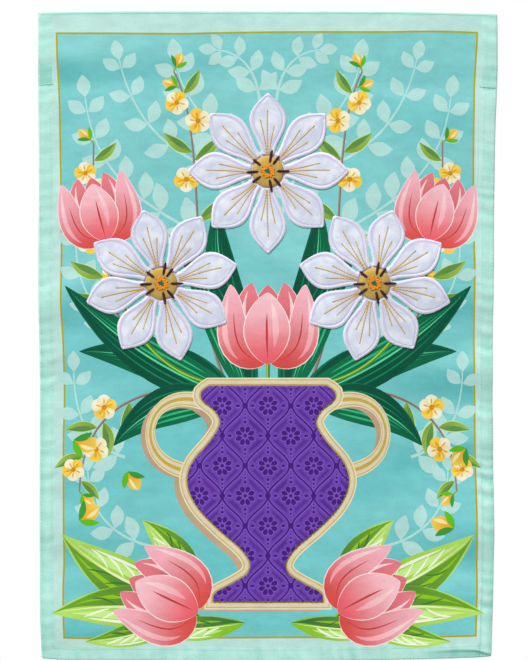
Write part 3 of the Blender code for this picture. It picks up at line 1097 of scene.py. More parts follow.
def urnOutline(grow=0.0, steps=70):
    # the urn's outline, moved outwards by grow, or inwards where it is negative
    count = 12
    depths = [urnTop + (urnFoot - urnTop) * k / steps for k in range(steps + 1)]
    right = [(smoothAt(urnRows, 1, depth), depth) for depth in depths]
    line = [(right[0][0] * k / count, urnTop) for k in range(count)] + right
    line += [(right[-1][0] * (count - k) / count, urnFoot) for k in range(1, count + 1)]
    whole = line + [(-x, depth) for x, depth in line[-2:0:-1]]
    if not grow:
        return whole
    moved = []
    for before, point, after in zip(whole[-1:] + whole, whole, closed(whole)[1:]):
        ins, outs = math.dist(before, point) or 1.0, math.dist(point, after) or 1.0
        across = (point[1] - before[1]) / ins + (after[1] - point[1]) / outs
        down = (before[0] - point[0]) / ins + (point[0] - after[0]) / outs
        reach = min(2 / (across * across + down * down or 1.0), 1.1)
        moved.append((point[0] + across * grow * reach, point[1] + down * grow * reach))
    return moved


printedUrn = {
    "edging": ((5.6, "#E9E1CC"), (4.7, "#D3BA5C"), (3.7, "#DED3B7"), (1.2, "#C6AB48")),  # width, colour
    "scroll": ((11.0, "#E9E1CC"), (9.6, "#D3BA5C"), (7.4, "#DED3B7"), (2.6, "#C6AB48")),
    "handle": ((44, 274), (88, 258), (98, 318), (54, 322)),
    "shade": ("#B99C7E", "#C4A98A"),
    "shadeShift": (-5.4, 3.4),
    "handleShade": "#BDA184",
    "handleShift": (-2.6, 2.4),
    "clothEdge": -0.6,  # of what is printed beneath the brocade
}


def paintUrn(art):
    shade = shifted(urnOutline(3.6), *printedUrn["shadeShift"])
    art.paint(shade, printedUrn["shade"], ((0, urnTop), (0, urnFoot)))
    for side in (-1, 1):
        line = along(mirrored(side, *printedUrn["handle"]), 32)
        art.paint(ribbon(shifted(line, *printedUrn["handleShift"]), 8.0), printedUrn["handleShade"])
        for width, colour in printedUrn["scroll"]:
            scroll = ribbon(line, lambda share: width * (0.8 + 0.2 * math.cos(2 * math.pi * share)))
            art.paint(scroll, colour)
    for grow, colour in printedUrn["edging"]:
        art.paint(urnOutline(grow), colour)
    art.paint(urnOutline(printedUrn["clothEdge"]), urn["purple"])


# how the sprays and sprigs run on the right half: path, pairs of leaves, leaf length, leaf width
spraysRight = (
    (((6, 62), (8, 40), (20, 28), (36, 27)), 4, 18, 10),
    (((8, 150), (20, 90), (60, 70), (64, 36)), 6, 24, 13),
    (((40, 160), (92, 134), (122, 112), (128, 60)), 7, 22, 12),
    (((30, 112), (80, 100), (98, 62), (104, 34)), 5, 20, 11),
    (((60, 232), (110, 228), (138, 204), (134, 152)), 6, 20, 11),
    (((100, 312), (114, 308), (136, 296), (136, 252)), 5, 20, 11),
    (((60, 376), (98, 378), (126, 356), (126, 322)), 5, 20, 11),
)
sprigsRight = (
    (((28, 262), (60, 200), (40, 90), (66, 42)),
     ((0.42, "leaf", 1, 26), (0.50, "leaf", -1, 24), (0.60, "bloom", 1, 9), (0.68, "leaf", -1, 24),
      (0.72, "leaf", 1, 24), (0.78, "bloom", -1, 9), (0.86, "bloom", 1, 8.5), (0.92, "leaf", -1, 20),
      (0.94, "bud", 1, 11), (1.0, "bud", -1, 11))),
    (((40, 262), (110, 250), (124, 180), (122, 92)),
     ((0.50, "leaf", 1, 26), (0.58, "bloom", -1, 9), (0.62, "leaf", 1, 26), (0.70, "bloom", 1, 9),
      (0.80, "leaf", 1, 24), (0.86, "bloom", -1, 9), (0.92, "bloom", 1, 8), (0.97, "leaf", -1, 20),
      (1.0, "bud", 1, 11))),
    (((44, 264), (96, 262), (130, 282), (132, 336)),
     ((0.40, "leaf", 1, 26), (0.52, "bloom", -1, 9), (0.60, "leaf", 1, 24), (0.66, "leaf", -1, 22),
      (0.74, "bloom", 1, 9), (0.84, "leaf", -1, 22), (0.88, "bloom", -1, 8), (0.95, "leaf", 1, 18),
      (1.0, "bud", 1, 11))),
)
# base, tip, width, bend, hand
darkLeavesRight = (
    ((22, 272), (132, 238), 30, -0.16, 1), ((18, 272), (142, 192), 29, 0.14, -1),
    ((10, 270), (36, 134), 30, 0.10, 1), ((30, 274), (108, 304), 28, -0.30, 1),
    ((14, 270), (66, 152), 27, -0.08, 1),
)
limeLeavesRight = (
    ((52, 414), (144, 366), 31, 0.16, -1), ((46, 425), (151, 421), 30, -0.12, 1),
    ((48, 408), (88, 356), 23, -0.12, 1), ((16, 428), (86, 433), 17, 0.05, 1),
    ((60, 424), (128, 441), 17, 0.10, 1),
)
# x, depth, size, turn in degrees
looseBuds = (
    (-136, 300, 17, 20), (-132, 356, 17, -35), (130, 362, 17, 200), (-98, 322, 15, 60), (139, 306, 15, 130),
)


def paintLeaves(art, kind, side, rows):
    for base, tip, width, bend, hand in rows:
        paintLeaf(art, kind, *mirrored(side, base, tip), width, side * bend, side * hand)


def composeArtwork():
    art = Artwork()
    for side in (-1, 1):
        for path, pairs, length, width in spraysRight:
            paleSpray(art, mirrored(side, *path), pairs, length, width)
    for side in (-1, 1):
        for path, stations in sprigsRight:
            sprig(art, side, path, stations)
    for bud in looseBuds:
        looseBud(art, *bud)
    for side in (-1, 1):
        paintLeaves(art, "dark", side, darkLeavesRight)
    tulipStem(art, ((0, 264), (0, 252), (0, 242), (0, 236)))
    for side in (-1, 1):
        tulipStem(art, mirrored(side, (20, 262), (60, 262), (100, 240), (118, 156)))
        tulip(art, side * 113, 160, 46, 14 * side)
    tulip(art, 0, 246, 56, 0)
    paintUrn(art)
    for side in (-1, 1):
        paintLeaves(art, "lime", side, limeLeavesRight)
        tulip(art, side * 50, 420, 54, 64 * side)
    for blossom in blossoms:  # what the applique covers is printed pale
        for number in range(petal["count"]):
            art.paint(Petal(blossom, number).outline(24, 0.9), petal["print"])
        _, x, depth, _, _ = blossom
        art.paint(ring(x, depth, centre["radius"] + 4.0, 32), petal["print"])
    return art


print("printed cloth")
panel = {
    "mint": ("#BFE6DD", "#BAE2DA"),  # border inside the hem
    "hem": ("#BAE9DD", "#AEE3D6"),
    "paintedShade": "#84D3C2",  # painted shade for the hems: in the dips of the puckers, beside the outer stitching, above and in the tack folds
    # painted highlight: on the crests of the puckers, on the thin edges and on the cloth's cut edge
    "paintedHighlight": "#D2F4EA",
    "turned": "#6DBFAE",  # painted shade on the lower right corner, which turns away from the light; also a painted shadow line along the right hem's stitching
    # painted shade in the crease of the lower right corner
    "crease": "#4E9C8E",
    "topLine": "#A4E2D4",
    "line": "#B0AA27",
    "lineWidth": 1.4,
    "ground": ("#81CDCC", "#72C8C8", "#60C0C5", "#92DADA"),  # upper, lower, deeper, lighter
    "down": "#45B2B4",  # painted shade where a fold turns down, and painted highlight where it turns up
    "up": "#A2E0E0",
    # painted shade in a shallow fold beside the sleeve's left tack
    "fold": "#45B0AE",
    "spacing": 3.1,  # of the points on the face, and on the back
    "backSpacing": 6.0,
    "margin": 12.5,  # along the edges, which rings of points follow instead
    "back": "#C2E4DE",
    "backFade": 0.42,
}
# insets of the gold line from the edges: depth, left, right
lineSides = (
    (0, 12.0, 13.1), (20, 12.4, 13.8), (40, 13.2, 15.0), (55, 14.0, 15.4), (72, 14.3, 14.8),
    (116, 14.7, 14.3), (161, 15.5, 13.4), (176, 15.6, 12.8), (206, 15.1, 12.7), (230, 16.0, 12.6),
    (272, 16.7, 12.0), (300, 16.0, 12.1), (345, 16.1, 11.5), (386, 16.4, 11.3), (402, 15.8, 10.8),
    (455, 15.7, 10.7),
)
# x, top, bottom
lineEnds = (
    (-161, 13.9, 14.6), (-132, 14.4, 15.2), (-104, 14.8, 14.9), (-62, 15.1, 15.7), (-30, 14.4, 16.0),
    (22, 13.8, 16.2), (80, 13.6, 15.6), (120, 12.7, 15.0), (161, 12.9, 14.6),
)
# how far in the right hem's tone reaches: depth, inset
rightHem = ((0, 11.0), (50, 10.6), (70, 9.0), (455, 8.6))


inwardSign = {"left": 1, "top": 1, "right": -1, "bottom": -1}


def roundTheFlag(inset, step=4.0, corner=0.0):
    # a closed line inside the flag's edges; inset is a number, or a function of the side and the place
    def insetAt(side, at):
        return inset(side, at) if callable(inset) else inset

    def crossing(vertical, level):
        x, depth = edgeAt(vertical, 0.0), 0.0
        for _ in range(6):
            depth = edgeAt(level, x) + inwardSign[level] * insetAt(level, x)
            x = edgeAt(vertical, depth) + inwardSign[vertical] * insetAt(vertical, depth)
        return x, depth

    turns = (("left", "top"), ("right", "top"), ("right", "bottom"), ("left", "bottom"))
    corners = [crossing(*turn) for turn in turns]
    line = []
    for k, side in enumerate(("top", "right", "bottom", "left")):
        a, b = corners[k], corners[(k + 1) % 4]
        count = max(2, round(math.dist(a, b) / step))
        for n in range(count):
            x, depth = blendOf(a, b, n / count)
            if n and side in ("top", "bottom"):
                depth = edgeAt(side, x) + inwardSign[side] * insetAt(side, x)
            elif n:
                x = edgeAt(side, depth) + inwardSign[side] * insetAt(side, depth)
            elif corner:  # a slightly rounded corner
                middle = (-1 if x > 0 else 1, 1 if depth < cloth["height"] / 2 else -1)
                x, depth = stepOff((x, depth), middle, corner)
            line.append((x, depth))
    return line


def lineInset(extra):
    return lambda side, at: fromTables(lineSides, lineEnds, side, at) + extra


def besideTop(atTop, elsewhere):
    return lambda side, at: atTop if side == "top" else elsewhere


def hemInset(side, at):
    if side == "right":
        return smoothAt(rightHem, 1, at)
    return cloth["topFold"] if side == "top" else cloth["hem"]


def spots(x, depth, size, seed):
    # uneven patches, 0 to 1
    return 0.5 + 0.5 * noise.fractal(Vector((x / size, depth / size, seed)), 0.6, 2.0, 3)


def towards(tone, name, share):
    return blendOf(tone, colourOf(panel[name]), share)


# How strongly each thing tints the hems; all but topLine are painted shade or painted highlight. The first
# two are the painted shade in the puckers' dips and the painted highlight on their crests; low is what the
# lower end adds to these, and left and right are for the painted shade on the end of the sleeve above its
# tack.
hemTint = {
    "paintedShade": 0.42, "paintedHighlight": 0.40, "low": 0.2, "lipShade": 0.55, "seam": 0.45, "turned": 0.55, "crease": 0.45,
    "left": 0.62, "right": 0.22, "tack": 0.6, "edge": 0.6, "topLine": 0.8,
}


def hemColour(x, depth):
    light, deep = (colourOf(text) for text in panel["hem"])
    tone = blendOf(light, deep, smoothStep(0.3, 0.7, spots(x, depth, 16, 2.0)))
    left, right, top, _ = edgeDistances(x, depth)
    near, side = min(left, right), nearSide(left, right)
    wave, low = puckerAt(x, depth), smoothStep(250, 420, depth)
    # painted shade in the puckers' dips and painted highlight on their crests
    tone = towards(tone, "paintedShade", (hemTint["paintedShade"] + hemTint["low"] * low) * capped(-wave))
    tone = towards(tone, "paintedHighlight", (hemTint["paintedHighlight"] + hemTint["low"] * low) * capped(wave))
    # painted shade beside the outer stitching, lower down
    tone = towards(tone, "paintedShade", hemTint["lipShade"] * bell(near - 1.6, 1.1) * smoothStep(140, 300, depth))
    # a painted shadow line along the right hem's stitching, low down
    tone = towards(tone, "turned", hemTint["seam"] * bell(right - cloth["hemStitch"] - 0.1, 0.7) * low)
    # painted shade on the lower right corner below its crease, darker still in the crease
    turned, crease = cornerTurn(x, depth)
    tone = towards(tone, "turned", hemTint["turned"] * turned)
    tone = towards(tone, "crease", (hemTint["crease"] + 0.4 * bell(x - 147, 6)) * crease)
    if near < 13.5:  # painted shade over the hem above its tack, where the doubled end of the sleeve lies behind, and in the tack's fold
        level = cloth["tack"][side][0]
        above = smoothStep(level - 16.5, level - 15.5, depth)
        above *= 1 - smoothStep(level - 1.2, level - 0.2, depth)
        tone = towards(tone, "paintedShade", above * hemTint[side])
        tone = towards(tone, "paintedShade", hemTint["tack"] * tackFold(x, depth))
    if near < 0.9:  # light comes through the thin edges
        tone = towards(tone, "paintedHighlight", hemTint["edge"] - 0.35 * low)
    if top < cloth["topFold"]:
        tone = towards(tone, "topLine", hemTint["topLine"])
    return tone


def borderColour(x, depth):
    light, deep = (colourOf(text) for text in panel["mint"])
    return blendOf(light, deep, smoothStep(0.2, 0.8, spots(x * 0.4, depth * 1.5, 40, 9.0)))


# deep and light are uneven patches of the print; down and up are painted shade and painted highlight on the
# folds, and fold is painted shade in the fold beside the tack
groundTint = {"deep": 0.35, "light": 0.30, "down": 0.42, "up": 0.30, "fold": 0.6}


def groundColour(x, depth):
    upper, lower, deep, light = (colourOf(text) for text in panel["ground"])
    tone = blendOf(upper, lower, smoothStep(120, 330, depth))
    tone = blendOf(tone, deep, groundTint["deep"] * smoothStep(0.30, 0.85, spots(x * 0.35, depth, 46, 1.0)))
    tone = blendOf(tone, light, groundTint["light"] * smoothStep(0.40, 0.90, spots(x * 0.3, depth, 34, 12.0)))
    fall = (hang(x, depth + 2) - hang(x, depth - 2)) / 0.8  # about -1 to 1; painted shade where the cloth turns down, painted highlight where it turns up
    tone = towards(tone, "down", groundTint["down"] * capped(fall))
    tone = towards(tone, "up", groundTint["up"] * capped(-fall))
    # painted shade in a shallow fold beside the sleeve's left tack
    beside = bell(edgeDistances(x, depth)[0], 40) * bell(depth - 44, 11)
    return towards(tone, "fold", groundTint["fold"] * beside)


art = composeArtwork()
fields = Artwork()
fields.paint(roundTheFlag(hemInset), borderColour)
fields.paint(roundTheFlag(lineInset(0.0)), panel["line"])
fields.paint(roundTheFlag(lineInset(panel["lineWidth"])), groundColour)
flagLine = roundTheFlag(0.0, 1.9, 0.5)


def showsThrough(shape):
    # small shapes and thin streaks don't show on the back
    around = sum(math.dist(a, b) for a, b in zip(shape["line"], closed(shape["line"])[1:]))
    return shape["area"] > 200 or shape["area"] > max(30, 1.1 * around)


def scattered(spacing):
    scatter = random.Random(5)
    columns = int(162 / spacing)  # to just beyond the side edges
    found = []
    for row in range(int(cloth["height"] / spacing) + 1):
        for column in range(-columns, columns + 1):
            x, depth = ((place + 0.3 * scatter.uniform(-1, 1)) * spacing for place in (column, row))
            if min(edgeDistances(x, depth)) > panel["margin"]:
                found.append((x, depth))
    return found


hemRings = (0.15, 0.4, 0.75, 1.2, 1.7, 2.6, 5.0, 7.0, 7.6, 8.2, 8.8, 9.3, 9.8, 10.3, 11.2)
rings = [point for inset in hemRings for point in roundTheFlag(inset, 1.9)]
for at, start, stop, _ in fineCreases:
    for x in range(start + 1, stop - 1, 2):
        rings += [(x, at + pucker["fineFall"] * (x - start) + off) for off in (-2.4, -1.1, 0, 1.1, 2.4)]
atCorner = [
    (x, smoothAt(cornerCrease, 1, x) + off) for x in range(106, 157) for off in (-1.6, -0.8, 0, 0.8, 1.6)
]
atCorner = [point for point in atCorner if min(edgeDistances(*point)) > 0.9]
inFront = rings + atCorner + scattered(panel["spacing"])
front = Layer(flagLine, fields.shapes + art.shapes, inFront, hemColour)
showing = [shape for shape in art.shapes if showsThrough(shape)]
coarse = [point for inset in hemRings[1::3] for point in roundTheFlag(inset, 3.8)]
atBack = coarse + atCorner + scattered(panel["backSpacing"])
behind = Layer(flagLine, fields.shapes + showing, atBack, hemColour)
panelBody = Body()
frontRim = panelBody.addLayer(front, lambda x, depth, rise: onFace(x, depth))
backRim = panelBody.addLayer(
    behind, lambda x, depth, rise: onBack(x, depth), False,
    lambda colour: blendOf(colour, colourOf(panel["back"]), panel["backFade"]),
)
# the cut edge takes the painted highlight colour
panelBody.addRim(frontRim, backRim, colourOf(panel["paintedHighlight"]))
printedCloth = panelBody.piece("printedCloth", "printed", fair=True)
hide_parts("front_panel")
print(len(art.shapes), "outlines,", len(panelBody.faces), "faces")


print("hems and rod sleeve")
hems = {
    "thick": 0.45,
    "clear": 0.06,
    "cells": {"left": 230, "right": 230, "top": 160, "bottom": 160},  # along each hem
    "loose": 0.12,  # unevenness between the edge and the stitching
}


def hemPoint(side, share, inset):
    # a place on one hem: share runs along it from mitre to mitre
    if side in ("left", "right"):
        x, depth = edgeAt(side, 0.0), 0.0
        for _ in range(4):
            low, high = edgeAt("top", x) + inset, edgeAt("bottom", x) - inset
            depth = low + (high - low) * share
            x = edgeAt(side, depth) + inwardSign[side] * inset
        return x, depth
    x = depth = 0.0
    for _ in range(4):
        depth = edgeAt(side, x) + inwardSign[side] * inset
        low, high = edgeAt("left", depth) + inset, edgeAt("right", depth) - inset
        x = low + (high - low) * share
    return x, depth


def addHems():
    body = Body()
    width = cloth["hem"]
    # inset and lift across a hem, from the edge round its inner fold and back under itself
    section = (
        (0.1, 0.25), (0.35, 0.42), (0.8, 0.5), (1.2, 0.4), (1.8, 0.5), (4.5, 0.52), (7.2, 0.5), (8.2, 0.36),
        (9.0, 0.5), (width - 0.3, 0.42), (width, 0.2), (width - 0.2, 0.03),
    )
    for side, steps in hems["cells"].items():
        rows = []
        for k in range(steps + 1):
            row = []
            for inset, lift in section:
                x, depth = hemPoint(side, k / steps, inset)
                uneven = noise.noise(Vector((x / 9, depth / 9, 3.0))) * smoothStep(2, 5, inset)
                loose = hems["loose"] * uneven * (1 - smoothStep(8.6, 9.6, inset))
                row.append(onBack(x, depth, lift + hems["clear"] + loose))
            rows.append(row)
        turned = side in ("left", "bottom")
        body.addGrid([row[::-1] for row in rows] if turned else rows)
    return body.piece("turnedHems", "hem")


def onHem(x, depth, lift=0.0):
    return onBack(x, depth, lift + hems["thick"] + hems["clear"])


turnedHems = addHems()

sleeve = {
    "depth": 51.5,
    "seam": 6.0,
    "inset": 0.8,
    "bulge": 8.5,
    "fullness": 0.55,
    "back": 0.6,  # from the middle of the solid panel to its back, and what a hem adds
    "turned": 1.0,
    "clear": 0.35,
    "thick": 0.5,
    "seams": (0.055, 0.945),  # its two rows of stitching, in shares of its depth
    "groove": 0.15,  # depth of that stitching
    "sag": 0.7,  # how far the pocket's middle falls short of the bulge
    "folds": 0.5,
    "smallFolds": 0.22,
    "gather": 0.16,  # of the cloth along the stitching
    "gatherPitch": 9.5,
    "hemmed": 0.35,  # what the turned ends stand proud
    "roll": 0.25,  # of the outer edges
}


def panelBack(x, depth):
    left, right, top, _ = edgeDistances(x, depth)
    share = smoothStep(0, 1, (cloth["hem"] + 0.5 - min(left, right, top)) / 1.2)
    return hang(x, depth) + sleeve["back"] + sleeve["turned"] * share


def sleevePoint(across, down, lift=0.0):
    # across from -1 to 1, down from 0 at the upper edge to 1 at the lower
    drop = sleeve["depth"] - sleeve["inset"]
    seam = sleeve["seam"] / drop
    inner = capped((down - seam) / (1 - 2 * seam))
    swelling = math.sin(math.pi * inner) if 0 < inner < 1 else 0.0
    ease = swelling ** 0.7
    middle = drop * down
    left, right = edgeAt("left", middle) + sleeve["inset"], edgeAt("right", middle) - sleeve["inset"]
    x = (left + right) / 2 + (right - left) / 2 * across
    depth = edgeAt("top", x) + sleeve["inset"] + middle
    folds = sleeve["folds"] * noise.noise(Vector((x / 26, down * 1.6, 4.0)))
    folds += sleeve["smallFolds"] * noise.noise(Vector((x / 10, down * 2.5, 9.0)))
    stand = sleeve["bulge"] * swelling ** sleeve["fullness"] + (folds - sleeve["sag"]) * ease
    turn = 2 * math.pi * x / sleeve["gatherPitch"] + 3 * noise.noise(Vector((x / 40, 2.0, 1.0)))
    stand += sleeve["gather"] * math.sin(turn) * (1 - ease) * (1 if 0.02 < down < 0.98 else 0.4)
    for row in sleeve["seams"]:
        stand -= sleeve["groove"] * bell((down - row) * drop, pucker["grooveWidth"])
    return (x * mm, (panelBack(x, depth) + sleeve["clear"] + stand + lift) * mm, -depth * mm)


def addSleeve():
    body = Body()
    # rows lie closest at the seams, and columns at the turned ends
    steps = [0.0, 0.004, 0.02, 0.04, 0.05, 0.055, 0.06, 0.08, 0.10, 0.115, 0.13, 0.15, 0.18]
    steps += [0.18 + 0.64 * k / 22 for k in range(1, 22)]
    steps += [1 - step for step in reversed(steps[:13])]
    ends = [-1.0, -0.997, -0.99, -0.955, -0.947, -0.94, -0.935]
    across = ends + [-0.93 + 1.86 * k / 110 for k in range(111)] + [-place for place in reversed(ends)]
    for side, lift in ((1, sleeve["thick"]), (-1, 0.0)):
        rows = []
        for down in steps:
            row = []
            for place in across:
                proud = sleeve["hemmed"] * smoothStep(0.933, 0.945, abs(place)) if side > 0 else 0.0
                near = smoothStep(0.994, 1.0, abs(place)) + smoothStep(0.49, 0.5, abs(down - 0.5))
                row.append(sleevePoint(place, down, lift + proud - side * sleeve["roll"] * near))
            rows.append(row[::-1] if side > 0 else row)
        body.addGrid(rows)
    last, foot = len(across) - 1, len(steps) - 1

    def outer(r, c):
        return r * (last + 1) + last - c

    def inner(r, c):
        return (foot + 1 + r) * (last + 1) + c

    for r in range(foot):
        body.faces.append([outer(r, 0), outer(r + 1, 0), inner(r + 1, 0), inner(r, 0)])
        body.faces.append([outer(r, last), inner(r, last), inner(r + 1, last), outer(r + 1, last)])
    for c in range(last):
        body.faces.append([outer(0, c), inner(0, c), inner(0, c + 1), outer(0, c + 1)])
        body.faces.append([outer(foot, c), outer(foot, c + 1), inner(foot, c + 1), inner(foot, c)])
    return body.piece("rodSleeve", "sleeve")


rodSleeve = addSleeve()
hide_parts("rod_sleeve")

print("urn")


def brocadeColour(x, depth):
    share = smoothStep(0.3, 0.7, spots(x, depth, 18, 6.0))
    return blendOf(colourOf(urn["purple"]), colourOf(urn["deep"]), share)


def netLine(column, side, half):
    # one curve of the net, from a knot to the next
    points = []
    for k in range(15):
        at = (half + k / 14) / 2
        swing = (0.5 - 0.5 * math.cos(2 * math.pi * at)) * (urn["across"] / 2 - urn["apart"])
        points.append((column * urn["across"] + side * swing, urn["first"] + at * urn["down"]))
    return points


def paintRosette(art, x, depth, grown, look):
    # round petals, berries above and below, and a lozenge at each side
    more = grown / 2

    def spoke(shape, angle, widest, point, count):
        ahead = (math.cos(angle), math.sin(angle))
        base, tip = (stepOff((x, depth), ahead, away) for away in (shape["from"] - more, shape["to"] + more))
        art.paint(blade(straight(base, tip), shape["width"] + grown, widest, point, count), **look)

    rosette = urn["rosette"]
    for turn in range(rosette["petals"]):
        spoke(rosette, 2 * math.pi * (turn + 0.5) / rosette["petals"], 0.58, 0.55, 9)
    art.paint(ring(x, depth, rosette["eye"] + more, 12), **look)
    for side in (-1, 1):
        for away, radius in urn["berries"]:
            art.paint(ring(x, depth + side * away, radius + more, 12), **look)
        spoke(urn["lozenge"], math.pi * (side < 0), 0.5, 0.9, 8)


def paintBrocade():
    # rosettes in a net of curved lines, each shape in three tones laid one on the other
    art = Artwork()
    for tone, grown in urn["spread"].items():
        look = {"colour": urn[tone], "rise": urn["rise"][tone]}
        for half in range(9):
            for column in range(-3, 4):
                for side in (-1, 1):
                    art.paint(ribbon(netLine(column, side, half), urn["line"] + grown), **look)
                x = (column + half % 2 / 2) * urn["across"]
                knot = urn["first"] + half * urn["down"] / 2
                art.paint(ring(x, knot, urn["knot"] + grown / 2, 14), **look)
                paintRosette(art, x + urn["across"] / 2, knot, grown, look)
    return art


def clipped(art, margin=4.0):
    # leaves out what lies wholly outside the urn
    kept = []
    for shape in art.shapes:
        xs, depths = zip(*shape["line"])
        if max(depths) < urnTop - margin or min(depths) > urnFoot + margin:
            continue
        places = (min(depths), sum(depths) / len(depths), max(depths))
        widest = max(smoothAt(urnRows, 1, depth) for depth in places)
        if min(abs(x) for x in xs) <= widest + margin:
            kept.append(shape)
    return kept


def addUrn():
    outline = urnOutline()
    inside = [point for inset in urn["rings"] for point in urnOutline(-inset, 90)]
    scatter, spacing = random.Random(8), urn["spacing"]
    for row in range(int((urnFoot - urnTop) / spacing)):
        for column in range(-36, 37):
            x = (column + 0.3 * scatter.uniform(-1, 1)) * spacing
            depth = urnTop + (row + 0.5 + 0.3 * scatter.uniform(-1, 1)) * spacing
            if urnTop + 2 < depth < urnFoot - 2 and abs(x) < smoothAt(urnRows, 1, depth) - 2.2:
                inside.append((x, depth))
    layer = Layer(outline, clipped(paintBrocade()), inside, brocadeColour)

    def fall(x, depth):
        # how far the edge turns down to the cloth
        if abs(x) <= smoothAt(urnRows, 1, depth) - 4 and urnTop + 4 <= depth <= urnFoot - 4:
            return 0.0
        near = min(math.dist((x, depth), other) for other in outline)
        over = max(0.0, 1 - near / urn["turnedWidth"])
        return urn["turned"] * (1 - math.sqrt(max(0.0, 1 - over ** 2)))

    body = Body()

    def place(x, depth, rise):
        quilt = 0.10 * noise.noise(Vector((x / 14, depth / 14, 8.0)))
        return onFace(x, depth, urn["lift"] + rise + quilt - fall(x, depth))

    rim = body.addLayer(layer, place)
    start = len(body.points)
    body.points += [onFace(x, depth, petal["down"]) for x, depth in outline]
    body.addRim(rim, list(range(start, start + len(outline))), colourOf(urn["deep"]))
    return body.piece("urnBrocade", "brocade", fair=True)


urnBrocade = addUrn()
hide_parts("urn")

print("blossoms")


def petalColour(place, share, aside):
    inside = place.half(share) - abs(aside) - petal["rim"]
    names = ("face", "pale", "shade", "lavender", "base")
    face, pale, shade, lavender, base = (colourOf(petal[name]) for name in names)
    x, depth = place.flat(share, aside)
    tone = blendOf(face, pale, smoothStep(0.35, 0.7, spots(x, depth, 7, 3.0)))
    tone = blendOf(tone, shade, 0.7 * smoothStep(0.5, 0.8, spots(x, depth, 11, 6.5)))
    tone = blendOf(base, tone, smoothStep(0.0, 0.5, share))
    # a lavender line just inside the stitched edge, partly lavender tint and partly painted shade at the foot
    # of the raised edge
    return blendOf(tone, lavender, 0.8 * bell(max(0.0, inside - 0.3), 0.5))


def addPetal(place):
    # a grid from the base to the tip, closest near the edges, where it turns down to the cloth
    near = (0.0, 0.25, 0.7, 1.4, 2.3, 2.7, 3.0, 3.35, 3.8, 4.5)
    rows, colours = [], []
    for share in eased(34):
        half = place.half(share)
        shrink = min(1.0, half / 5.2)
        asides = [half - inset * shrink for inset in near]
        asides += [asides[-1] * part for part in (0.75, 0.5, 0.3, 0.15)] + [0.0]
        asides = [-half] + [-aside for aside in asides] + asides[-2::-1] + [half]
        row = []
        for aside in asides:
            edge = min(half - abs(aside), place.length * share, place.length * (1 - share) * 0.8)
            lift = place.lift(share, aside) * (0.35 + 0.65 * smoothStep(-0.3, 1.1, edge))
            row.append([*place.flat(share, aside), lift])
        row[0][2] = row[-1][2] = petal["down"]
        rows.append([onFace(*point) for point in row])
        colours.append([petalColour(place, share, aside) for aside in asides])

    def closing(share):
        half, wide = place.half(share), len(rows[0]) - 3
        asides = [-half] + [half * (2 * k / wide - 1) for k in range(wide + 1)] + [half]
        return [onFace(*place.flat(share, aside), petal["down"]) for aside in asides]

    body = Body()
    body.addGrid([closing(0.0), *rows, closing(1.0)], [colours[0], *colours, colours[-1]])
    piece = body.piece(f"{place.name}Petal{place.number + 1}", "satin")
    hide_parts(f"blossom_{place.name}_petal_{place.number + 1:02d}")
    return piece


def addRim(body, place):
    # satin stitches set side by side across the edge; they fan out round the tip
    wobble = random.Random(place.number * 7 + len(place.name))
    fine = [k / 400 for k in range(401)]
    tip = max(share for share in fine if place.half(share) > petal["rim"] * 1.1)
    shares, travelled, due = [], 0.0, 0.0
    previous = place.flat(0.0, place.half(0.0))
    for share in fine:
        point = place.flat(share, place.half(share))
        travelled += math.dist(previous, point)
        previous = point
        if travelled >= due:
            shares.append(share)
            due += petal["pitch"]
    stitches = [(share, 1) for share in shares] + [(1.0, 0)] + [(share, -1) for share in reversed(shares)]
    outer, inner = [], []
    for share, side in stitches:
        within = min(share + 0.02 * share, tip)
        outside = place.flat(share, side * place.half(share)) if side else place.flat(1.012, 0.0)
        narrow = max(0.12, place.half(within) - petal["rim"] - wobble.uniform(-0.15, 0.2))
        inside = place.flat(within, side * narrow)
        over = 0.22 + wobble.uniform(-0.08, 0.12)
        outer.append(blendOf(inside, outside, 1 + over / math.dist(outside, inside)))
        inner.append(inside)
    # share of the way in, height
    heights = ((0.0, 0.04), (0.16, 0.84), (0.48, 1.0), (0.84, 0.90), (1.0, 0.58))
    for k in range(1, len(stitches) - 1):
        rows = []
        for share, height in heights:
            at = [blendOf(outer[n], inner[n], share) for n in (k - 1, k, k + 1)]
            low, high = blendOf(at[0], at[1], 0.5), blendOf(at[1], at[2], 0.5)
            row = []
            for across, down in ((-0.04, 0.2), (0.24, 0.0), (0.76, 0.0), (1.04, 0.2)):
                lift = max(petal["down"], petal["rimLift"] * height - down)
                row.append(onFace(*blendOf(low, high, across), lift))
            rows.append(row)
        body.addGrid(rows)


def addVeins(body, place):
    for k, (_, stop) in enumerate(place.veins):
        shares = [0.02 + (stop - 0.02) * step / 40 for step in range(41)]
        line = [place.flat(share, place.veinAt(k, share)) for share in shares]
        for run in dashes(line, 2.2, 2.5, 1.2):
            middle = blendOf(run[0], run[-1], 0.5)
            share = (math.dist(middle, (place.x, place.depth)) - place.start) / place.length
            base = place.lift(share, place.veinAt(k, share)) - 0.02
            body.addStrand([*run[:2], middle, *run[2:]], onFace, 1.0, 0.42, base=base)


def addDome(body, x, depth, base, radius, height, sides=10, dimple=0.0):
    rows = []
    for out, up in ((1.0, 0.0), (0.97, 0.42), (0.72, 0.85), (0.35, 1.0), (0.03, 1.0 - dimple)):
        row = []
        for k in range(sides, -1, -1):
            ahead, _ = outAndAside(2 * math.pi * k / sides)
            row.append(onFace(*stepOff((x, depth), ahead, radius * out), base + height * up))
        rows.append(row)
    body.addGrid(rows)


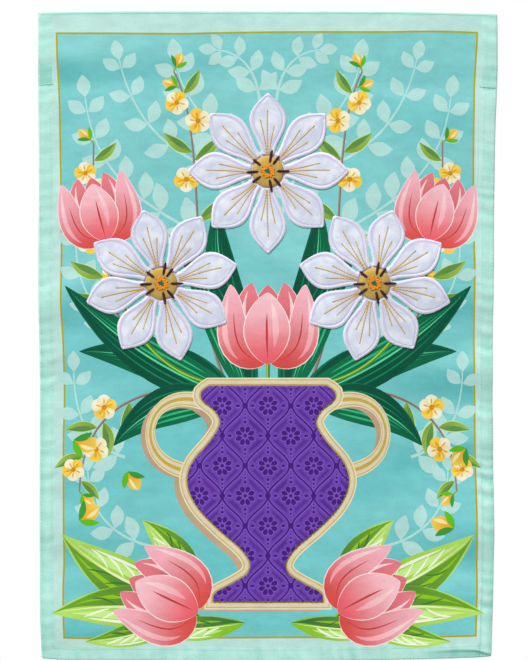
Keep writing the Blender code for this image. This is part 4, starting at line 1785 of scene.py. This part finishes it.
def addCentre(blossom):
    name, x, depth, _, _ = blossom
    tall, radius, level = centre["height"], centre["radius"], centre["level"]

    def bowl(out):
        return tall * math.sqrt(max(0.0, 1 - (max(0.0, out - level) / (radius + 0.1 - level)) ** 2))

    gold = Body()
    for k in range(centre["threads"]):  # they run outwards and cover the padded ring
        ahead, aside = outAndAside(2 * math.pi * k / centre["threads"])
        rows = []
        for out in (radius + 0.1, radius - 0.35, radius - 1.2, radius - 2.6, 6.6, centre["ring"] - 0.6):
            row = []
            width = out * math.pi / centre["threads"] * 1.08
            for across, up in ((-1.0, -0.15), (-0.45, 0.0), (0.45, 0.0), (1.0, -0.15)):
                at = stepOff(stepOff((x, depth), ahead, out), aside, across * width)
                row.append(onFace(*at, max(0.02, 0.12 + bowl(out) + up)))
            rows.append(row)
        gold.addGrid(rows)
    addDome(gold, x, depth, 0.02, centre["ring"] + 0.6, tall - 0.2, sides=36)
    brown = Body()
    for k in range(centre["rays"]):
        ahead, aside = outAndAside(2 * math.pi * (k + 0.25 * math.sin(2.3 * k)) / centre["rays"])
        start, stop = centre["rayFrom"] + 0.4 * math.sin(5.0 * k), centre["rayTo"] + 1.0 * math.cos(3.0 * k)
        stitches = int((stop - start) / 0.42)
        for n in range(stitches + 1):
            out = start + (stop - start) * n / stitches
            plump = math.sqrt(max(0.08, 1 - (2 * n / stitches - 1) ** 4))
            middle = stepOff((x, depth), ahead, out)
            half = centre["rayWidth"] / 2 * plump
            shares = (-1.0, -0.7, 0.0, 0.7, 1.0)
            line = [stepOff(stepOff(middle, aside, half * share), ahead, 0.1 * share) for share in shares]
            base = max(bowl(out), petal["rimLift"] * smoothStep(9.6, 11.2, out))
            brown.addStrand(line, onFace, 0.46, 0.62 * plump, base=base + 0.1)
    knots = {"orange": Body(), "green": Body()}
    golden = math.pi * (3 - math.sqrt(5))
    for k in range(centre["knots"]):
        out = centre["knotsWithin"] * math.sqrt((k + 0.5) / centre["knots"])
        at = (x + out * math.cos(golden * k), depth + out * math.sin(golden * k))
        body = knots["green" if k < centre["green"] else "orange"]
        addDome(body, *at, tall - 0.25, centre["knot"], 1.0 + 0.1 * math.sin(4.0 * k), dimple=0.35)
    pieces = [gold.piece(f"{name}CentreGold", "gold"), brown.piece(f"{name}CentreRays", "brown")]
    for colour, body in knots.items():
        pieces.append(body.piece(f"{name}CentreKnots{colour.capitalize()}", colour))
    for piece in pieces:
        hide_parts(f"blossom_{name}_centre")


petals = []
for blossom in blossoms:
    name, rims, veins, made = blossom[0], Body(), Body(), []
    places = [Petal(blossom, number) for number in range(petal["count"])]
    for place in places:
        made.append(addPetal(place))
        addRim(rims, place)
        addVeins(veins, place)
    petals += places
    edging = [rims.piece(f"{name}PetalEdges", "white"), veins.piece(f"{name}PetalVeins", "gold")]
    for piece, place in zip(made, places):
        abs(areaOf(place.outline())) * mm * mm
    addCentre(blossom)
    print(name, len(rims.faces), "faces of edge stitching")

urnArea = abs(areaOf(urnOutline())) * mm * mm

print("sewing")
sewing = {
    "width": 0.42,
    "height": 0.2,
    "sink": 0.06,  # base of the stitches in the groove of a hem's seam
    "dash": 2.0,
    "tack": {"pitch": 1.9, "width": 0.5, "height": 0.34},
    "urn": {"inset": 1.6, "width": 0.45, "height": 0.26, "heightBehind": 0.22},
    "sleeve": 316,  # length of the sleeve's seams, and where they end, in half widths
    "ends": 0.985,
    # stitches under the petals and under the centres: pitch, length, width, height
    "underPetals": (0.95, 0.8, 1.7, 0.22),
    "underCentres": (1.0, 0.85, 1.9, 0.2),
    "centreRows": (5.5, 8.0, 10.4),
}


def addHemSewing():
    body = Body()
    inner = roundTheFlag(besideTop(1.0, cloth["hemStitch"]), 2.0)
    rows = [[point for point in inner if edgeDistances(*point)[2] > 1.6]]  # the side and bottom hems alone
    rows.append(closed(roundTheFlag(cloth["edgeStitch"], 2.0)))
    for row, first in zip(rows, (1.0, 2.5)):
        for run in dashes(row, cloth["stitch"], sewing["dash"], first):
            body.addStrand(run, onFace, sewing["width"], sewing["height"], base=sewing["sink"])
        for run in dashes(row, cloth["stitch"], sewing["dash"], first + cloth["stitch"] / 2):
            body.addStrand(run, onHem, sewing["width"], sewing["height"], False, base=-0.1)
    # where the sleeve's lower edge is caught down across the side hems
    tack = sewing["tack"]
    for side in ("left", "right"):
        level, reach = cloth["tack"][side]
        edge, sign = edgeAt(side, level), inwardSign[side]
        line = [(edge + sign * (2.0 + (reach - 2.0) * k / 10), level - 0.8 - 0.09 * k) for k in range(11)]
        for run in dashes(line[::sign], tack["pitch"], tack["pitch"] * 0.8, 0.6):
            body.addStrand(run, onFace, tack["width"], tack["height"], base=0.1)
    return body.piece("hemStitching", "mint")


def addSleeveSewing():
    body = Body()
    count = int(sewing["sleeve"] / cloth["stitch"])
    drop = sleeve["depth"] - sleeve["inset"]
    for down in sleeve["seams"]:
        for k in range(count):
            low = sewing["ends"] * (2 * k / count - 1)
            high = low + 2 * sewing["ends"] / count * 0.76
            rows = []
            for share in (0.0, 0.14, 0.86, 1.0):
                full, rising = (0.45, 0.1) if share in (0.0, 1.0) else (1.0, 1.0)
                row = []
                for across, up in reversed(threadSection):
                    step = across * full * sewing["width"] / 2 / drop
                    lift = sleeve["thick"] + sewing["height"] * up * rising
                    row.append(sleevePoint(low + (high - low) * share, down + step, lift))
                rows.append(row)
            body.addGrid(rows)
    return body.piece("sleeveStitching", "mint")


def addBackSewing():
    # the underside of the applique stitching shows on the back
    rows = [(place.outline(40), "underPetals") for place in petals]
    for _, x, depth, _, _ in blossoms:
        rows += [(ring(x, depth, radius, 40), "underCentres") for radius in sewing["centreRows"]]
    body = Body()
    for line, kind in rows:
        pitch, length, width, height = sewing[kind]
        for run in dashes(closed(line), pitch, length):
            body.addStrand(run, onBack, width, height, False)
    return body.piece("backStitching", "white")


def addUrnSewing():
    body, under, kind = Body(), Body(), sewing["urn"]
    line = closed(urnOutline(-kind["inset"], 120))
    for run in dashes(line, cloth["stitch"], sewing["dash"], 0.5):
        body.addStrand(run, onFace, kind["width"], kind["height"], base=urn["lift"] - 0.08)
    for run in dashes(line, cloth["stitch"], sewing["dash"], 1.8):
        under.addStrand(run, onBack, kind["width"], kind["heightBehind"], False)
    return body.piece("urnStitching", "purple"), under.piece("urnBackStitching", "purple")


hemStitching, sleeveStitching, backStitching = addHemSewing(), addSleeveSewing(), addBackSewing()
for piece in (hemStitching, sleeveStitching, backStitching, *addUrnSewing()):
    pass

print("studio")
studio = {
    "distance": 2.0,
    "lookX": -0.00315,
    "lookZ": -0.223,
    "tall": 0.462,
    "floor": -1.0,
    "floorRadius": 1.1,
    "surround": 0.23,
    "aim": (0, 0, -0.22),
    "lamp": 1.2,
    "lamps": {"keyLight": ((-1.2, -2.6, 3.2), 212.0), "backLight": ((1.2, 1.9, 0.8), 40.0)},  # place, power
}


def addCamera():
    data = bpy.data.cameras.new("camera")
    data.sensor_fit = "VERTICAL"
    data.sensor_height = 36.0
    data.lens = 36.0 * studio["distance"] / studio["tall"]
    camera = addObject("camera", data)
    camera.location = (studio["lookX"], -studio["distance"], studio["lookZ"])
    camera.rotation_euler = (math.radians(90), 0.0, 0.0)
    bpy.context.scene.camera = camera


def addLight(name, place, power):
    data = bpy.data.lights.new(name, "AREA")
    data.shape = "SQUARE"
    data.size, data.energy = studio["lamp"], power
    light = addObject(name, data)
    light.location = place
    light.rotation_euler = (Vector(studio["aim"]) - Vector(place)).to_track_quat("-Z", "Y").to_euler()


def addFloor():
    rim = [(x, y, studio["floor"]) for x, y in ring(0.0, 0.0, studio["floorRadius"], 64)]
    mesh = bpy.data.meshes.new("floor")
    mesh.from_pydata(rim, [], [list(range(len(rim)))])
    mesh.materials.append(floorFinish())
    addObject("floor", mesh)


def addWorld():
    world = bpy.data.worlds.new("studio")
    world.use_nodes = True
    graph = Graph(world.node_tree)
    background = graph.tree.nodes["Background"]
    graph.set(background, {"Color": (1.0, 1.0, 1.0)})
    plain = Wire(graph, background.outputs[0])  # what the camera sees
    soft = graph.node("Background", {}, (1.0, 1.0, 1.0), studio["surround"])  # what lights the flag
    seen = graph.node("LightPath", {}).part("Is Camera Ray")
    graph.set(graph.tree.nodes["World Output"], {"Surface": graph.node("MixShader", {}, seen, soft, plain)})
    bpy.context.scene.world = world


addCamera()
for lamp, (place, power) in studio["lamps"].items():
    addLight(lamp, place, power)
addFloor()
addWorld()
bpy.context.scene.view_settings.view_transform = "Standard"
